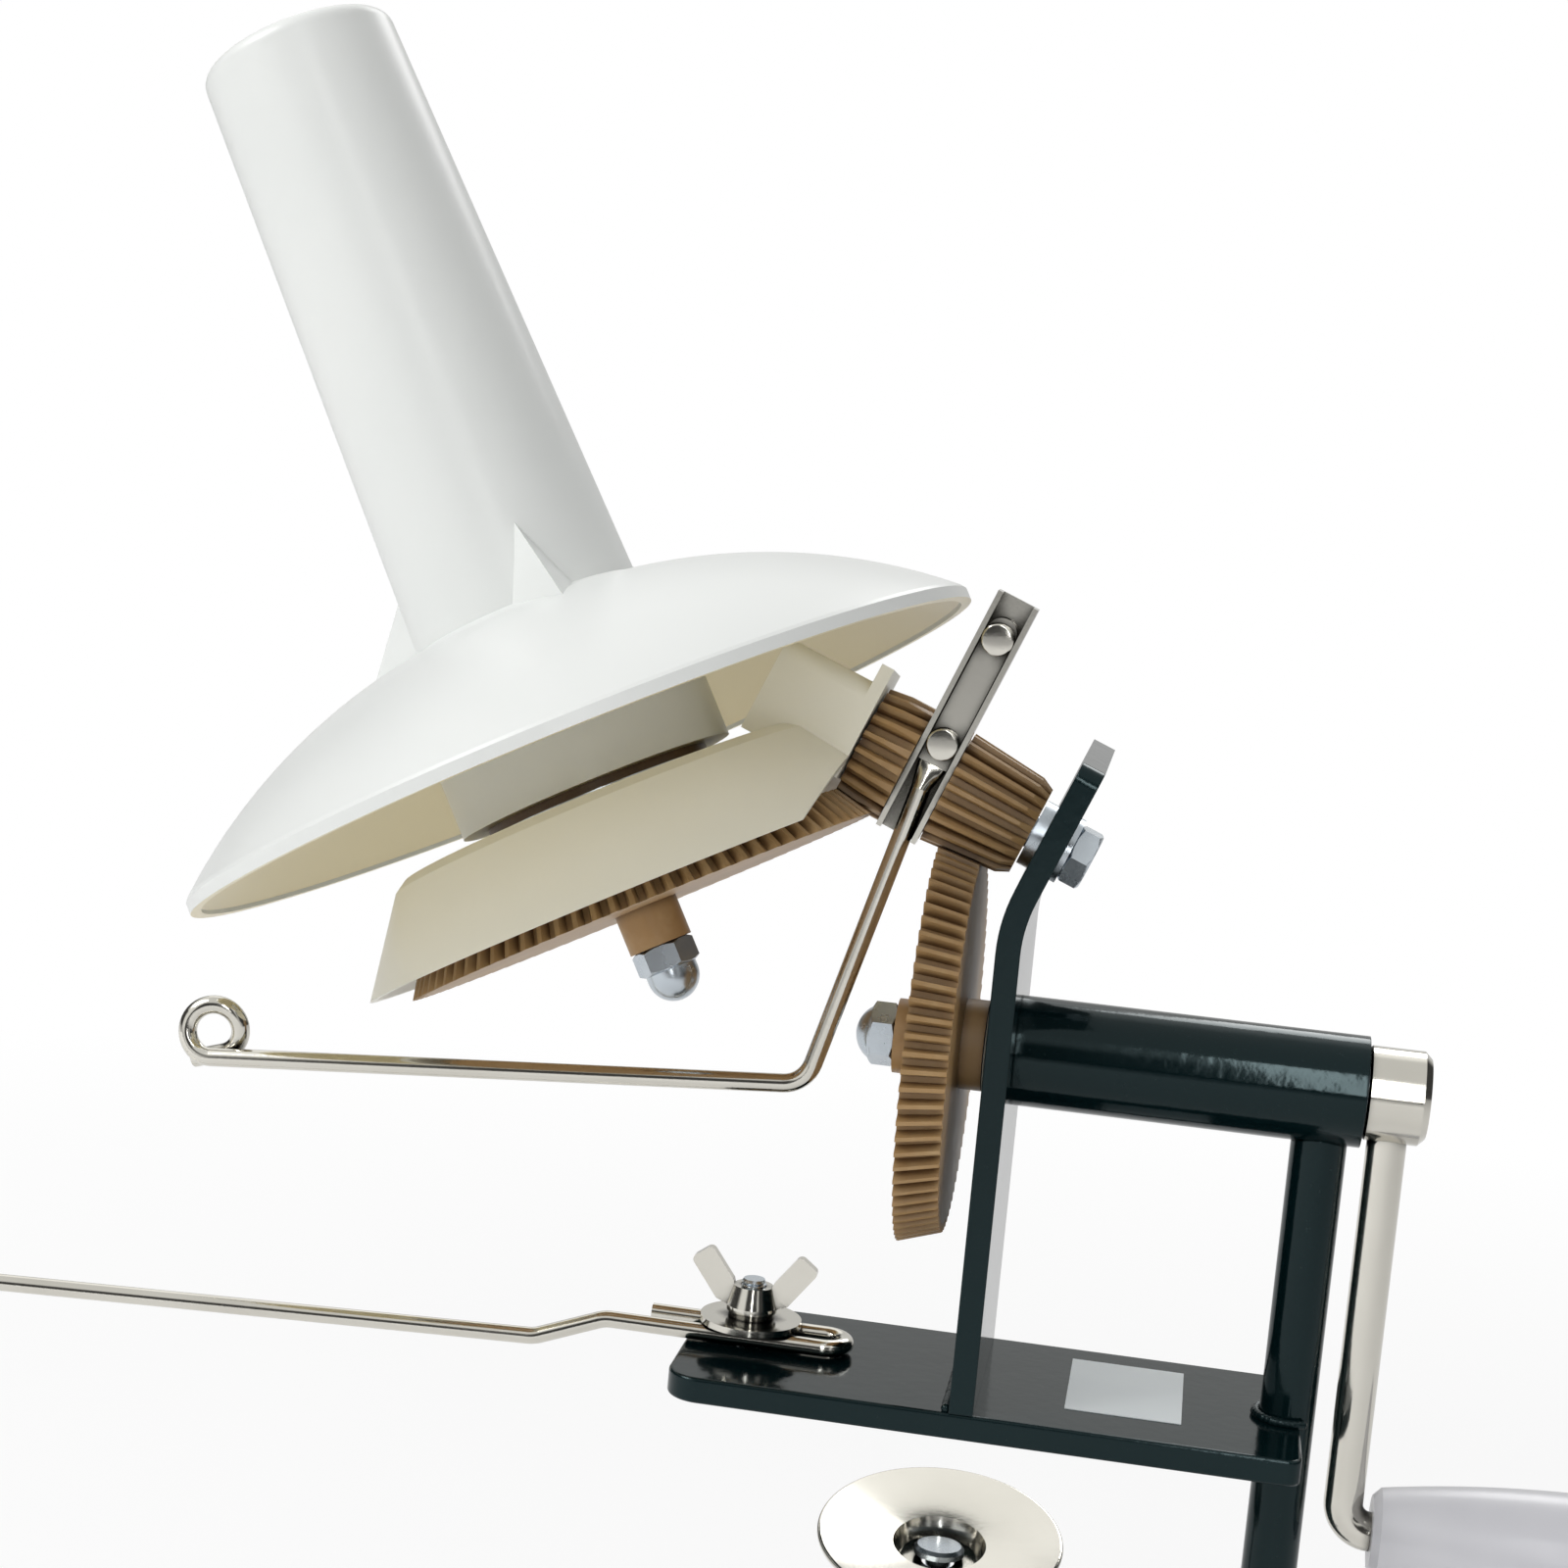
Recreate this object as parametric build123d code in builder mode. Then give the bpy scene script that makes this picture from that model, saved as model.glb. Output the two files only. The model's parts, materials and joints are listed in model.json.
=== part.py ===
from build123d import *
import os
from math import acos, asin, atan, ceil, cos, degrees, pi, radians, sin, sqrt, tan

os.makedirs("parts", exist_ok=True)

# Table-clamped yarn cone winder. Millimetres and degrees.
# Origin: underside of the base plate, on the axis of the clamp screw.
# +X points toward the crank, +Y away from the winding arm, +Z up.

# ---- base plate and upright bar ----
plate_depth = 60.0
plate_thickness = 6.0
plate_left = -64.5
plate_right = 79.5
plate_corner = 8.0
plate_back_corner = 3.0
plate_edge = 0.8
bar_x = 3.5
bar_width = 60.0
bar_thickness = 5.5
bar_bend_radius = 36.0
bar_above_axle = 22.6
bar_corner = 4.0

# ---- crank line ----
crank_height = 84.0
sleeve_radius = 12.7
sleeve_bore = 10.0
sleeve_right = 85.3
shaft_radius = 6.0
shaft_thread = 4.0
bush_length = 18.0
bush_flange = 11.0
bush_flange_thickness = 1.5
collar_radius = 10.75
collar_length = 13.9
collar_edge = 1.6
collar_floor = 2.0
crank_throw = 102.4
rod_radius = 4.5
rod_bend_radius = 6.5
rod_floor = 1.15
rod_depth_in_collar = collar_radius - shaft_radius - rod_floor
rod_shift = 1.05

# ---- hand grip ----
grip_start = 98.2
grip_length = 80.0
grip_neck_radius = 10.3
grip_belly_radius = 15.0
grip_end_radius = 11.5
grip_recess_radius = 8.2
grip_recess_depth = 4.5
grip_edge = 1.8
grip_waist_drop = 1.6
grip_waist_at = 23.1
grip_shoulder_at = 56.0
grip_shoulder_radius = 15.1
grip_round_at = 72.0
grip_round_drop = 0.9
grip_washer_radius = 7.2
rod_inset = 1.0

# ---- gears ----
drive_teeth = 74
pinion_teeth = 20
disc_teeth = 81
axle_slope = 22.0
head_angle = 39.5
head_lean = 8.0
drive_apex_x = 130.3
apex_spacing = 275.5
drive_gear_left = -16.0
drive_gear_face = 9.8
drive_hub_radius = 8.65
drive_hub_left = 5.9
drive_hub_right_radius = 10.5
pressure_angle = 20.0
tip_height = 0.75
root_depth = 1.0
flank_relief = 0.1

# ---- pinion on the sloping axle, stations measured from the head apex ----
pinion_left = 96.0
pinion_slot_left = 107.6
pinion_slot_right = 118.0
pinion_right = 139.5
pinion_tip_limit = 14.4
pinion_core_radius = 12.0
pinion_end_radius = 10.6
pinion_end_chamfer = 3.0
pinion_boss_radius = 8.0
axle_radius = 4.0
axle_thread = 3.0
bar_station = 145.2
axle_washer_radius = 8.0
axle_washer_thickness = 1.6
axle_head_length = 5.3
hex_m8 = 13.0
hex_m6 = 10.0
hex_m4 = 7.0
nut_hex_length = 6.0
nut_dome_radius = 6.1
gear_nut_dome = 3.4
spindle_nut_collar = 1.8
spindle_nut_dome = 5.8
bracket_nut_length = 5.0
axle_overhang = 1.5
flyer_nut_height = 3.2

# ---- flyer ----
slot_floor = 5.0
channel_width = 10.0
channel_depth = 5.4
channel_wall = 1.2
channel_bottom = -13.8
channel_top = 46.0
flyer_wire_radius = 2.2
tongue_width = 7.0
tongue_thickness = 2.4
tongue_round = 1.0
tongue_top = 41.0
tongue_bottom = 4.0
leg_shift = 0.1
leg_top = -2.0
upper_screw_at = 36.0
lower_screw_at = 9.3
screw_radius = 2.0
screw_head_radius = 3.7
screw_head_height = 2.5
screw_grip = 8.0
screw_head_edge = 0.5
screw_overhang = 0.8
flyer_bend_station = 121.2
flyer_bend_drop = -75.5
flyer_bend_radius = 7.4
flyer_reach_station = -6.5
flyer_reach_drop = -139.3
flyer_eye_radius = 6.1
flyer_eye_turn = 346.0
flyer_eye_pitch = 5.2
flyer_tail = 8.0

# ---- winding head, heights measured from the head apex ----
tube_top = 127.3
tube_base = -17.0
tube_top_radius = 23.3
tube_base_radius = 27.0
tube_wall = 2.5
tube_edge = 3.5
tube_edge_middle = 0.29
dome_start_radius = 30.0
dome_mid_radius = 64.4
dome_mid = -29.0
rim_radius = 96.3
rim_height = -50.0
rim_lip = 3.5
dome_wall = 2.5
dome_drop = 1.0
boss_foot_drop = 1.6
dome_inner_shift = 1.0
rim_edge = 0.6
rim_edge_drop = 0.8
boss_radius = 33.0
boss_wall = 2.5
boss_floor = 3.0
boss_bottom = -60.3
gusset_top = 1.0
gusset_foot_radius = 47.0
gusset_half_width = 9.0
gusset_azimuth = -71.0
gusset_count = 3
gusset_root_drop = 2.0
gusset_foot_rise = 5.5
gusset_toe_rise = 5.2
gusset_toe_length = 3.0
bracket_top = -64.0
bracket_plate = 3.0
skirt_wall = 2.0
skirt_shoulder = 3.0
skirt_inner_corner = 1.0
skirt_top_radius = 52.0
skirt_bottom_radius = 66.5
skirt_bottom = -86.8
journal_radius = 27.0
drum_radius = 30.0
disc_top = -82.0
disc_bottom = -90.0
disc_hub_radius = 7.5
disc_hub_bottom = -99.5
spindle_radius = 4.0
spindle_head_length = 5.3
ring_outer = 31.5
ring_thickness = 1.4

# ---- housing block at the axle end ----
block_left = 71.0
block_right = 95.5
block_low = -10.0
block_high = 13.0
block_half_width = 15.0
block_wall = 2.5
end_plate_thickness = 3.0
end_plate_high = 17.5
block_edge = 4.0

# ---- yarn guide arm ----
guide_wire_radius = 2.0
stud_x = -50.0
stud_y = 2.0
stud_radius = 3.0
stud_top = 21.3
hairpin_slack = 0.2
hairpin_half = stud_radius + guide_wire_radius + hairpin_slack
hairpin_right = 17.8
hairpin_far_end = -24.5
jog_start = -84.0
jog_end = -100.3
guide_turn_y = -5.0
guide_end_x = -290.0
guide_end_y = -27.0
guide_bend_radius = 8.0
guide_eye_radius = 7.0
guide_eye_turn = 405.0
guide_eye_pitch = 4.8
guide_tail = 5.0
guide_washer_radius = 12.0
guide_washer_thickness = 1.5
lock_ring_radius = 5.5
lock_ring_thickness = 1.5
wing_hub_radius = 6.0
wing_hub_height = 6.0
wing_span = 15.4
wing_rise = 14.6
wing_thickness = 2.4
wing_hub_lip = 1.2
wing_hub_taper = 0.78
wing_root_ratio = 0.7
wing_round = 1.4
wing_low = (2.6, 2.0)
wing_tip_drop = 3.6
wing_tip_width = 4.8
wing_valley = (-1.2, 1.0)
wing_seat = 0.3
stud_edge = 0.5

# ---- clamp ----
post_x = 76.5
post_radius = 6.35
arm_drop = 84.0
arm_bend_radius = 20.0
screw_boss_radius = 12.0
screw_boss_height = 22.0
clamp_screw_radius = 5.0
pad_radius = 29.0
pad_drop = 33.0
pad_tilt = 12.0
pad_wall = 1.4
pad_dish = 2.5
pad_cup_radius = 11.0
pad_cup_depth = 6.0
pad_cup_inner = 9.5
pad_cup_outer = 10.5
pad_cup_shoulder = 12.0
pad_edge = 0.63
swivel_radius = 3.0
swivel_head_radius = 6.0
swivel_head_height = 2.0
swivel_slack = 1.0
handle_drop = 130.0
handle_head_radius = 7.5
handle_head_height = 16.0
handle_radius = 3.5
screw_edge = 0.8
handle_length = 84.0
cap_radius = 5.5
cap_length = 8.0
cap_floor = 2.0
cap_round = 1.8

# ---- label, welds and fits ----
label_left = 26.0
label_width = 26.5
label_depth = 37.0
label_centre_y = 2.75
label_thickness = 0.2
weld_leg = 2.5
weld_gap = 0.02
running_fit = 0.05
face_gap = 0.3

# ---- directions and reference planes ----
slope = radians(axle_slope)
lean = radians(head_lean)
tilt = radians(head_angle)
axle_dir = Vector(cos(slope), 0, -sin(slope))
axle_up = Vector(sin(slope), 0, cos(slope))
depth_dir = Vector(0, 1, 0)
head_up = axle_up * cos(lean) + depth_dir * sin(lean)
head_side = depth_dir * cos(lean) - axle_up * sin(lean)
spindle_dir = head_up * sin(tilt) - axle_dir * cos(tilt)
mesh_dir = axle_dir * sin(tilt) + head_up * cos(tilt)
drive_apex = Vector(drive_apex_x, 0, crank_height)
head_apex = drive_apex - axle_dir * apex_spacing

crank_plane = Plane(origin=(0, 0, crank_height), x_dir=(1, 0, 0), z_dir=(0, -1, 0))
axle_plane = Plane(origin=head_apex, x_dir=axle_dir, z_dir=(0, -1, 0))
head_plane = Plane(origin=head_apex, x_dir=mesh_dir, z_dir=mesh_dir.cross(spindle_dir))
block_plane = Plane(origin=head_apex, x_dir=axle_dir, z_dir=axle_dir.cross(head_up))
crank_axis = Axis((0, 0, crank_height), (1, 0, 0))
axle_axis = Axis(head_apex, axle_dir)
head_axis = Axis(head_apex, spindle_dir)

bar_left = bar_x - bar_thickness / 2
bar_right = bar_x + bar_thickness / 2
bar_near_station = bar_station - bar_thickness / 2
bar_far_station = bar_station + bar_thickness / 2


# Point of the sloping axle's own frame: station along it, height square to it, depth.
def axle_point(station, height, depth):
    return head_apex + axle_dir * station + axle_up * height + depth_dir * depth


# Point of the winding head's frame: radius and azimuth about the spindle, height along it.
def head_point(radius, azimuth, height):
    turn = radians(azimuth)
    return head_apex + mesh_dir * radius * cos(turn) + head_side * radius * sin(turn) + spindle_dir * height


# Plane square to a direction, at a distance along it from a point.
def square_plane(start, direction, distance, x_dir):
    return Plane(origin=start + direction * distance, x_dir=x_dir, z_dir=direction)


# Pitch cone angle of a bevel wheel that meshes with its mate at a shaft angle.
def pitch_cone(teeth, mate_teeth, shaft_angle):
    return degrees(atan(sin(radians(shaft_angle)) / (mate_teeth / teeth + cos(radians(shaft_angle)))))


# Outline of a bevel wheel, cut square to its axis at a distance from the cone apex.
# The flanks are involutes of the back-cone wheel, so outlines at two distances are similar.
# An offset of 0 puts a tooth on the local X axis and 0.5 puts a gap there.
def bevel_outline(teeth, cone, distance, offset):
    cone_sin = sin(radians(cone))
    cone_cos = cos(radians(cone))
    pitch_radius = distance * tan(radians(cone))
    module = 2 * pitch_radius / teeth
    back_radius = pitch_radius / cone_cos
    base_radius = back_radius * cos(radians(pressure_angle))
    pressure_roll = tan(radians(pressure_angle)) - radians(pressure_angle)
    flank = []
    for level in (-root_depth, -0.5 * root_depth, 0.0, tip_height):
        radius = back_radius + level * module
        contact = acos(min(1.0, base_radius / radius))
        half = pi * module / 4 / back_radius + pressure_roll - (tan(contact) - contact)
        half -= flank_relief * module / radius
        drawn = (pitch_radius + level * module * cone_cos) * distance / (distance - level * module * cone_sin)
        flank.append((drawn, half / cone_cos))
    outline = []
    for tooth in range(teeth):
        middle = 2 * pi * (tooth + offset) / teeth
        for radius, half in flank:
            outline.append((radius * cos(middle - half), radius * sin(middle - half)))
        for radius, half in reversed(flank):
            outline.append((radius * cos(middle + half), radius * sin(middle + half)))
    return outline


# Middle of the arc of a cap, as its radius from the axis and its rise over the cap's foot.
def cap_middle(foot_radius, height):
    sphere = (foot_radius * foot_radius + height * height) / (2 * height)
    half = asin(min(1.0, foot_radius / sphere)) / 2
    return sphere * sin(half), height - sphere * (1 - cos(half))


# Two arcs that join two points with given directions, meeting smoothly between them.
def arc_pair(start, start_dir, end, end_dir):
    span = end - start
    dot_sum = span.dot(start_dir + end_dir)
    spread = 2 * (1 - start_dir.dot(end_dir))
    reach = (sqrt(dot_sum * dot_sum + spread * span.dot(span)) - dot_sum) / spread
    near = start + start_dir * reach
    far = end - end_dir * reach
    joint = (near + far) / 2
    first = TangentArc(start, joint, tangent=start_dir)
    second = TangentArc(joint, end, tangent=(far - near).normalized())
    return [first, second]


# Points and directions of an eye that rises from the end of a straight leg and drifts
# sideways by its pitch a turn. The drift starts after the first quarter turn.
def eye_route(foot, forward, upward, radius, turn, pitch):
    sideways = forward.cross(upward)
    steps = ceil(turn / 90)
    stations = []
    for step in range(steps + 1):
        angle = radians(turn * step / steps)
        drift = pitch * angle / (2 * pi)
        place = foot + forward * radius * sin(angle) + upward * radius * (1 - cos(angle)) + sideways * drift
        heading = forward * cos(angle) + upward * sin(angle) + sideways * (pitch / (2 * pi * radius))
        if step == 0:
            heading = forward
        stations.append((place, heading.normalized()))
    return stations


# Least gap between the surfaces of stretches of one wire that are apart along it.
def least_gap(wire, radius, apart):
    length = wire.length
    count = int(length / radius)
    points = [wire.position_at(index / count) for index in range(count + 1)]
    step = length / count
    gap = length
    for first in range(len(points)):
        for second in range(first + ceil(apart / step), len(points)):
            gap = min(gap, (points[first] - points[second]).length - 2 * radius)
    return gap


drive_cone = pitch_cone(drive_teeth, pinion_teeth, axle_slope)
drive_pinion_cone = pitch_cone(pinion_teeth, drive_teeth, axle_slope)
disc_cone = pitch_cone(disc_teeth, pinion_teeth, head_angle)
disc_pinion_cone = pitch_cone(pinion_teeth, disc_teeth, head_angle)

# ---- base plate: rounded left end, notch for the clamp post, hole for the guide stud ----
with BuildPart() as base_plate:
    with BuildSketch(Plane.XY):
        with Locations(((plate_left + plate_right) / 2, 0)):
            Rectangle(plate_right - plate_left, plate_depth)
    extrude(amount=plate_thickness)
    left_corners = base_plate.edges().filter_by(Axis.Z).group_by(Axis.X)[0]
    fillet(left_corners, plate_corner)
    right_corners = base_plate.edges().filter_by(Axis.Z).group_by(Axis.X)[-1]
    fillet(right_corners, plate_back_corner)
    top_and_bottom = base_plate.faces().filter_by(Axis.Z).edges()
    fillet(top_and_bottom, plate_edge)
    with BuildSketch(Plane.XY):
        with Locations((post_x, 0)):
            Circle(post_radius + weld_gap)
        with Locations((post_x + post_radius, 0)):
            Rectangle(2 * post_radius, 2 * (post_radius + weld_gap))
        with Locations((stud_x, stud_y)):
            Circle(stud_radius + weld_gap)
    extrude(amount=plate_thickness, mode=Mode.SUBTRACT)
base_plate.part.label = "base_plate"
export_step(base_plate.part, "parts/base_plate.step")

# ---- upright bar: vertical from the plate, its top leaning square to the sloping axle ----
bar_axle_point = axle_point(bar_station, 0, 0)
bar_bend_height = bar_axle_point.Z + (bar_x - bar_axle_point.X) / tan(slope)
bar_half_miter = bar_thickness / 2 * tan(slope / 2)
bar_top_middle = bar_axle_point + axle_up * bar_above_axle
bar_top_left = bar_top_middle - axle_dir * bar_thickness / 2
bar_top_right = bar_top_middle + axle_dir * bar_thickness / 2
with BuildPart() as upright_bar:
    with BuildSketch(Plane.XZ):
        with BuildLine():
            left_side = FilletPolyline(
                (bar_left, plate_thickness),
                (bar_left, bar_bend_height + bar_half_miter),
                (bar_top_left.X, bar_top_left.Z),
                radius=bar_bend_radius + bar_thickness / 2,
            )
            right_side = FilletPolyline(
                (bar_right, plate_thickness),
                (bar_right, bar_bend_height - bar_half_miter),
                (bar_top_right.X, bar_top_right.Z),
                radius=bar_bend_radius - bar_thickness / 2,
            )
            Line(left_side @ 0, right_side @ 0)
            Line(left_side @ 1, right_side @ 1)
        make_face()
    extrude(amount=bar_width / 2, both=True)
    top_corners = upright_bar.edges().filter_by(Axis(bar_top_middle, axle_dir)).group_by(Axis.Z)[-1]
    fillet(top_corners, bar_corner)
    with BuildSketch(Plane.YZ.offset(bar_x)):
        with Locations((0, crank_height)):
            Circle(sleeve_bore)
    extrude(amount=bar_thickness, both=True, mode=Mode.SUBTRACT)
    with BuildSketch(square_plane(head_apex, axle_dir, bar_station, axle_up)):
        Circle(axle_radius + weld_gap)
    extrude(amount=bar_thickness, both=True, mode=Mode.SUBTRACT)
upright_bar.part.label = "upright_bar"
export_step(upright_bar.part, "parts/upright_bar.step")

# ---- bearing sleeve welded to the bar ----
with BuildPart() as bearing_sleeve:
    with BuildSketch(square_plane(Vector(0, 0, crank_height), Vector(1, 0, 0), bar_right, (0, 1, 0))):
        Circle(sleeve_radius)
        Circle(sleeve_bore, mode=Mode.SUBTRACT)
    extrude(amount=sleeve_right - bar_right)
bearing_sleeve.part.label = "bearing_sleeve"
export_step(bearing_sleeve.part, "parts/bearing_sleeve.step")

# ---- clamp post: one round rod from under the sleeve down past the plate and back under it ----
with BuildPart() as clamp_post:
    with BuildLine():
        post_path = FilletPolyline(
            (post_x, 0, crank_height),
            (post_x, 0, -arm_drop),
            (0, 0, -arm_drop),
            radius=arm_bend_radius,
        )
    with BuildSketch(Plane(origin=(post_x, 0, crank_height), z_dir=(0, 0, -1))):
        Circle(post_radius)
    sweep()
    with BuildSketch(Plane.YZ):
        with Locations((0, crank_height)):
            Circle(sleeve_radius + weld_gap)
    extrude(amount=post_x + 2 * post_radius, mode=Mode.SUBTRACT)
    with BuildSketch(Plane.XY.offset(-arm_drop)):
        Circle(screw_boss_radius + weld_gap)
    extrude(amount=screw_boss_height, both=True, mode=Mode.SUBTRACT)
clamp_post.part.label = "clamp_post"
export_step(clamp_post.part, "parts/clamp_post.step")

# ---- threaded boss at the end of the arm ----
with BuildPart() as screw_boss:
    with BuildSketch(Plane.XY.offset(-arm_drop)):
        Circle(screw_boss_radius)
        Circle(clamp_screw_radius + running_fit, mode=Mode.SUBTRACT)
    extrude(amount=screw_boss_height / 2, both=True)
    chamfer(screw_boss.edges().filter_by(GeomType.CIRCLE).sort_by(SortBy.RADIUS)[-2:], weld_leg / 2)
screw_boss.part.label = "screw_boss"
export_step(screw_boss.part, "parts/screw_boss.step")

# ---- welds: a ring round the post and a short bead at the foot of the bar ----
with BuildPart() as post_weld:
    with BuildSketch(Plane(origin=(post_x, 0, plate_thickness), x_dir=(1, 0, 0), z_dir=(0, -1, 0))):
        with BuildLine():
            Polyline(
                (post_radius + weld_gap, 0),
                (post_radius + weld_leg, 0),
                (post_radius + weld_gap, weld_leg),
                close=True,
            )
        make_face()
    revolve(axis=Axis((post_x, 0, 0), (0, 0, 1)))
    with BuildSketch(Plane.XY):
        with Locations((plate_right + plate_thickness, 0)):
            Rectangle(2 * plate_thickness, plate_depth)
    extrude(amount=plate_thickness + weld_leg, mode=Mode.SUBTRACT)
post_weld.part.label = "post_weld"
export_step(post_weld.part, "parts/post_weld.step")

with BuildPart() as foot_weld:
    with BuildSketch(Plane.XZ):
        with BuildLine():
            Polyline(
                (bar_left - weld_gap, plate_thickness),
                (bar_left - weld_gap - weld_leg, plate_thickness),
                (bar_left - weld_gap, plate_thickness + weld_leg),
                close=True,
            )
        make_face()
    extrude(amount=bar_width / 2 - plate_edge, both=True)
foot_weld.part.label = "foot_weld"
export_step(foot_weld.part, "parts/foot_weld.step")

# ---- bushes: the left one has a flange against the bar, the right one sits inside the sleeve ----
bush_radius = sleeve_bore - weld_gap
bush_bore = shaft_radius + running_fit
flange_left = bar_left - bush_flange_thickness
with BuildPart() as flanged_bush:
    with BuildSketch(crank_plane):
        with BuildLine():
            Polyline(
                (flange_left, bush_bore),
                (flange_left, bush_flange),
                (bar_left, bush_flange),
                (bar_left, bush_radius),
                (bar_left + bush_length, bush_radius),
                (bar_left + bush_length, bush_bore),
                close=True,
            )
        make_face()
    revolve(axis=crank_axis)
flanged_bush.part.label = "flanged_bush"
export_step(flanged_bush.part, "parts/flanged_bush.step")

with BuildPart() as outer_bush:
    with BuildSketch(square_plane(Vector(0, 0, crank_height), Vector(1, 0, 0), sleeve_right, (0, 1, 0))):
        Circle(bush_radius)
        Circle(bush_bore, mode=Mode.SUBTRACT)
    extrude(amount=-bush_length)
outer_bush.part.label = "outer_bush"
export_step(outer_bush.part, "parts/outer_bush.step")

# ---- crank shaft: journal, then a thinner stretch through the gear, ending in its thread ----
hub_right = flange_left - face_gap
hub_left = drive_gear_left - drive_hub_left
collar_left = sleeve_right + face_gap
collar_right = collar_left + collar_length
shaft_left = hub_left - nut_hex_length
with BuildPart() as crank_shaft:
    with BuildSketch(crank_plane):
        with BuildLine():
            Polyline(
                (shaft_left, 0),
                (shaft_left, shaft_thread),
                (hub_right, shaft_thread),
                (hub_right, shaft_radius),
                (collar_right - collar_floor - face_gap, shaft_radius),
                (collar_right - collar_floor - face_gap, 0),
                close=True,
            )
        make_face()
    revolve(axis=crank_axis)
crank_shaft.part.label = "crank_shaft"
export_step(crank_shaft.part, "parts/crank_shaft.step")

# ---- collar on the shaft's end, with the socket for the crank rod ----
with BuildPart() as crank_collar:
    with BuildSketch(crank_plane):
        with BuildLine():
            Polyline(
                (collar_left, shaft_radius + weld_gap),
                (collar_left, collar_radius - collar_edge / 3),
                (collar_left + collar_edge / 3, collar_radius),
                (collar_right - collar_edge, collar_radius),
                (collar_right, collar_radius - collar_edge),
                (collar_right, 0),
                (collar_right - collar_floor, 0),
                (collar_right - collar_floor, shaft_radius + weld_gap),
                close=True,
            )
        make_face()
    revolve(axis=crank_axis)
    rod_x = (collar_left + collar_right) / 2 - rod_shift
    with BuildSketch(Plane.XY.offset(crank_height - collar_radius)):
        with Locations((rod_x, 0)):
            Circle(rod_radius + weld_gap)
    extrude(amount=rod_depth_in_collar, both=True, mode=Mode.SUBTRACT)
crank_collar.part.label = "crank_collar"
export_step(crank_collar.part, "parts/crank_collar.step")

# ---- crank rod: hangs from the collar and turns out through the grip ----
grip_axis_height = crank_height - crank_throw
grip_end = grip_start + grip_length
rod_end = grip_end - rod_inset
washer_seat = grip_end - grip_recess_depth
rod_top = crank_height - collar_radius + rod_depth_in_collar - weld_gap
with BuildPart() as crank_rod:
    with BuildLine():
        FilletPolyline(
            (rod_x, 0, rod_top),
            (rod_x, 0, grip_axis_height),
            (rod_end, 0, grip_axis_height),
            radius=rod_bend_radius,
        )
    with BuildSketch(Plane(origin=(rod_x, 0, rod_top), z_dir=(0, 0, -1))):
        Circle(rod_radius)
    sweep()
crank_rod.part.label = "crank_rod"
export_step(crank_rod.part, "parts/crank_rod.step")

grip_plane = Plane(origin=(0, 0, grip_axis_height), x_dir=(1, 0, 0), z_dir=(0, -1, 0))
grip_axis = Axis((0, 0, grip_axis_height), (1, 0, 0))

# ---- retaining washer, fixed near the rod's end inside the grip's recess ----
with BuildPart() as grip_washer:
    with BuildSketch(Plane(origin=(washer_seat + face_gap, 0, grip_axis_height), z_dir=(1, 0, 0))):
        Circle(grip_washer_radius)
        Circle(rod_radius + weld_gap, mode=Mode.SUBTRACT)
    extrude(amount=axle_washer_thickness)
grip_washer.part.label = "grip_washer"
export_step(grip_washer.part, "parts/grip_washer.step")

# ---- hand grip: turned handle that runs freely on the rod ----
with BuildPart() as hand_grip:
    with BuildSketch(grip_plane):
        with BuildLine():
            Polyline(
                (grip_start + grip_edge, grip_neck_radius),
                (grip_start, grip_neck_radius - grip_edge),
                (grip_start, rod_radius + running_fit),
                (washer_seat, rod_radius + running_fit),
                (washer_seat, grip_recess_radius),
                (grip_end, grip_recess_radius),
                (grip_end, grip_end_radius),
            )
            ThreePointArc(
                (grip_end, grip_end_radius),
                (grip_start + grip_round_at, grip_belly_radius - grip_round_drop),
                (grip_start + grip_shoulder_at, grip_shoulder_radius),
            )
            ThreePointArc(
                (grip_start + grip_shoulder_at, grip_shoulder_radius),
                (grip_start + grip_waist_at, grip_belly_radius - grip_waist_drop),
                (grip_start + grip_edge, grip_neck_radius),
            )
        make_face()
    revolve(axis=grip_axis)
hand_grip.part.label = "hand_grip"
export_step(hand_grip.part, "parts/hand_grip.step")

# ---- big drive gear on the crank shaft ----
drive_far = drive_apex_x - drive_gear_left
drive_near = drive_far - drive_gear_face
with BuildPart() as drive_gear:
    with BuildSketch(square_plane(drive_apex, Vector(-1, 0, 0), drive_near, (0, 0, 1))):
        with BuildLine():
            Polyline(bevel_outline(drive_teeth, drive_cone, drive_near, 0.0), close=True)
        make_face()
    with BuildSketch(square_plane(drive_apex, Vector(-1, 0, 0), drive_far, (0, 0, 1))):
        with BuildLine():
            Polyline(bevel_outline(drive_teeth, drive_cone, drive_far, 0.0), close=True)
        make_face()
    loft(ruled=True)
    with BuildSketch(square_plane(Vector(0, 0, crank_height), Vector(-1, 0, 0), -drive_gear_left, (0, 0, 1))):
        Circle(drive_hub_radius)
    extrude(amount=drive_hub_left)
    with BuildSketch(square_plane(drive_apex, Vector(1, 0, 0), -drive_near, (0, 0, 1))):
        Circle(drive_hub_right_radius)
    extrude(amount=hub_right - drive_gear_left - drive_gear_face)
    with BuildSketch(Plane(origin=(hub_right, 0, crank_height), z_dir=(-1, 0, 0))):
        Circle(shaft_thread + weld_gap)
    extrude(amount=hub_right - hub_left, mode=Mode.SUBTRACT)
drive_gear.part.label = "drive_gear"
export_step(drive_gear.part, "parts/drive_gear.step")

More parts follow.
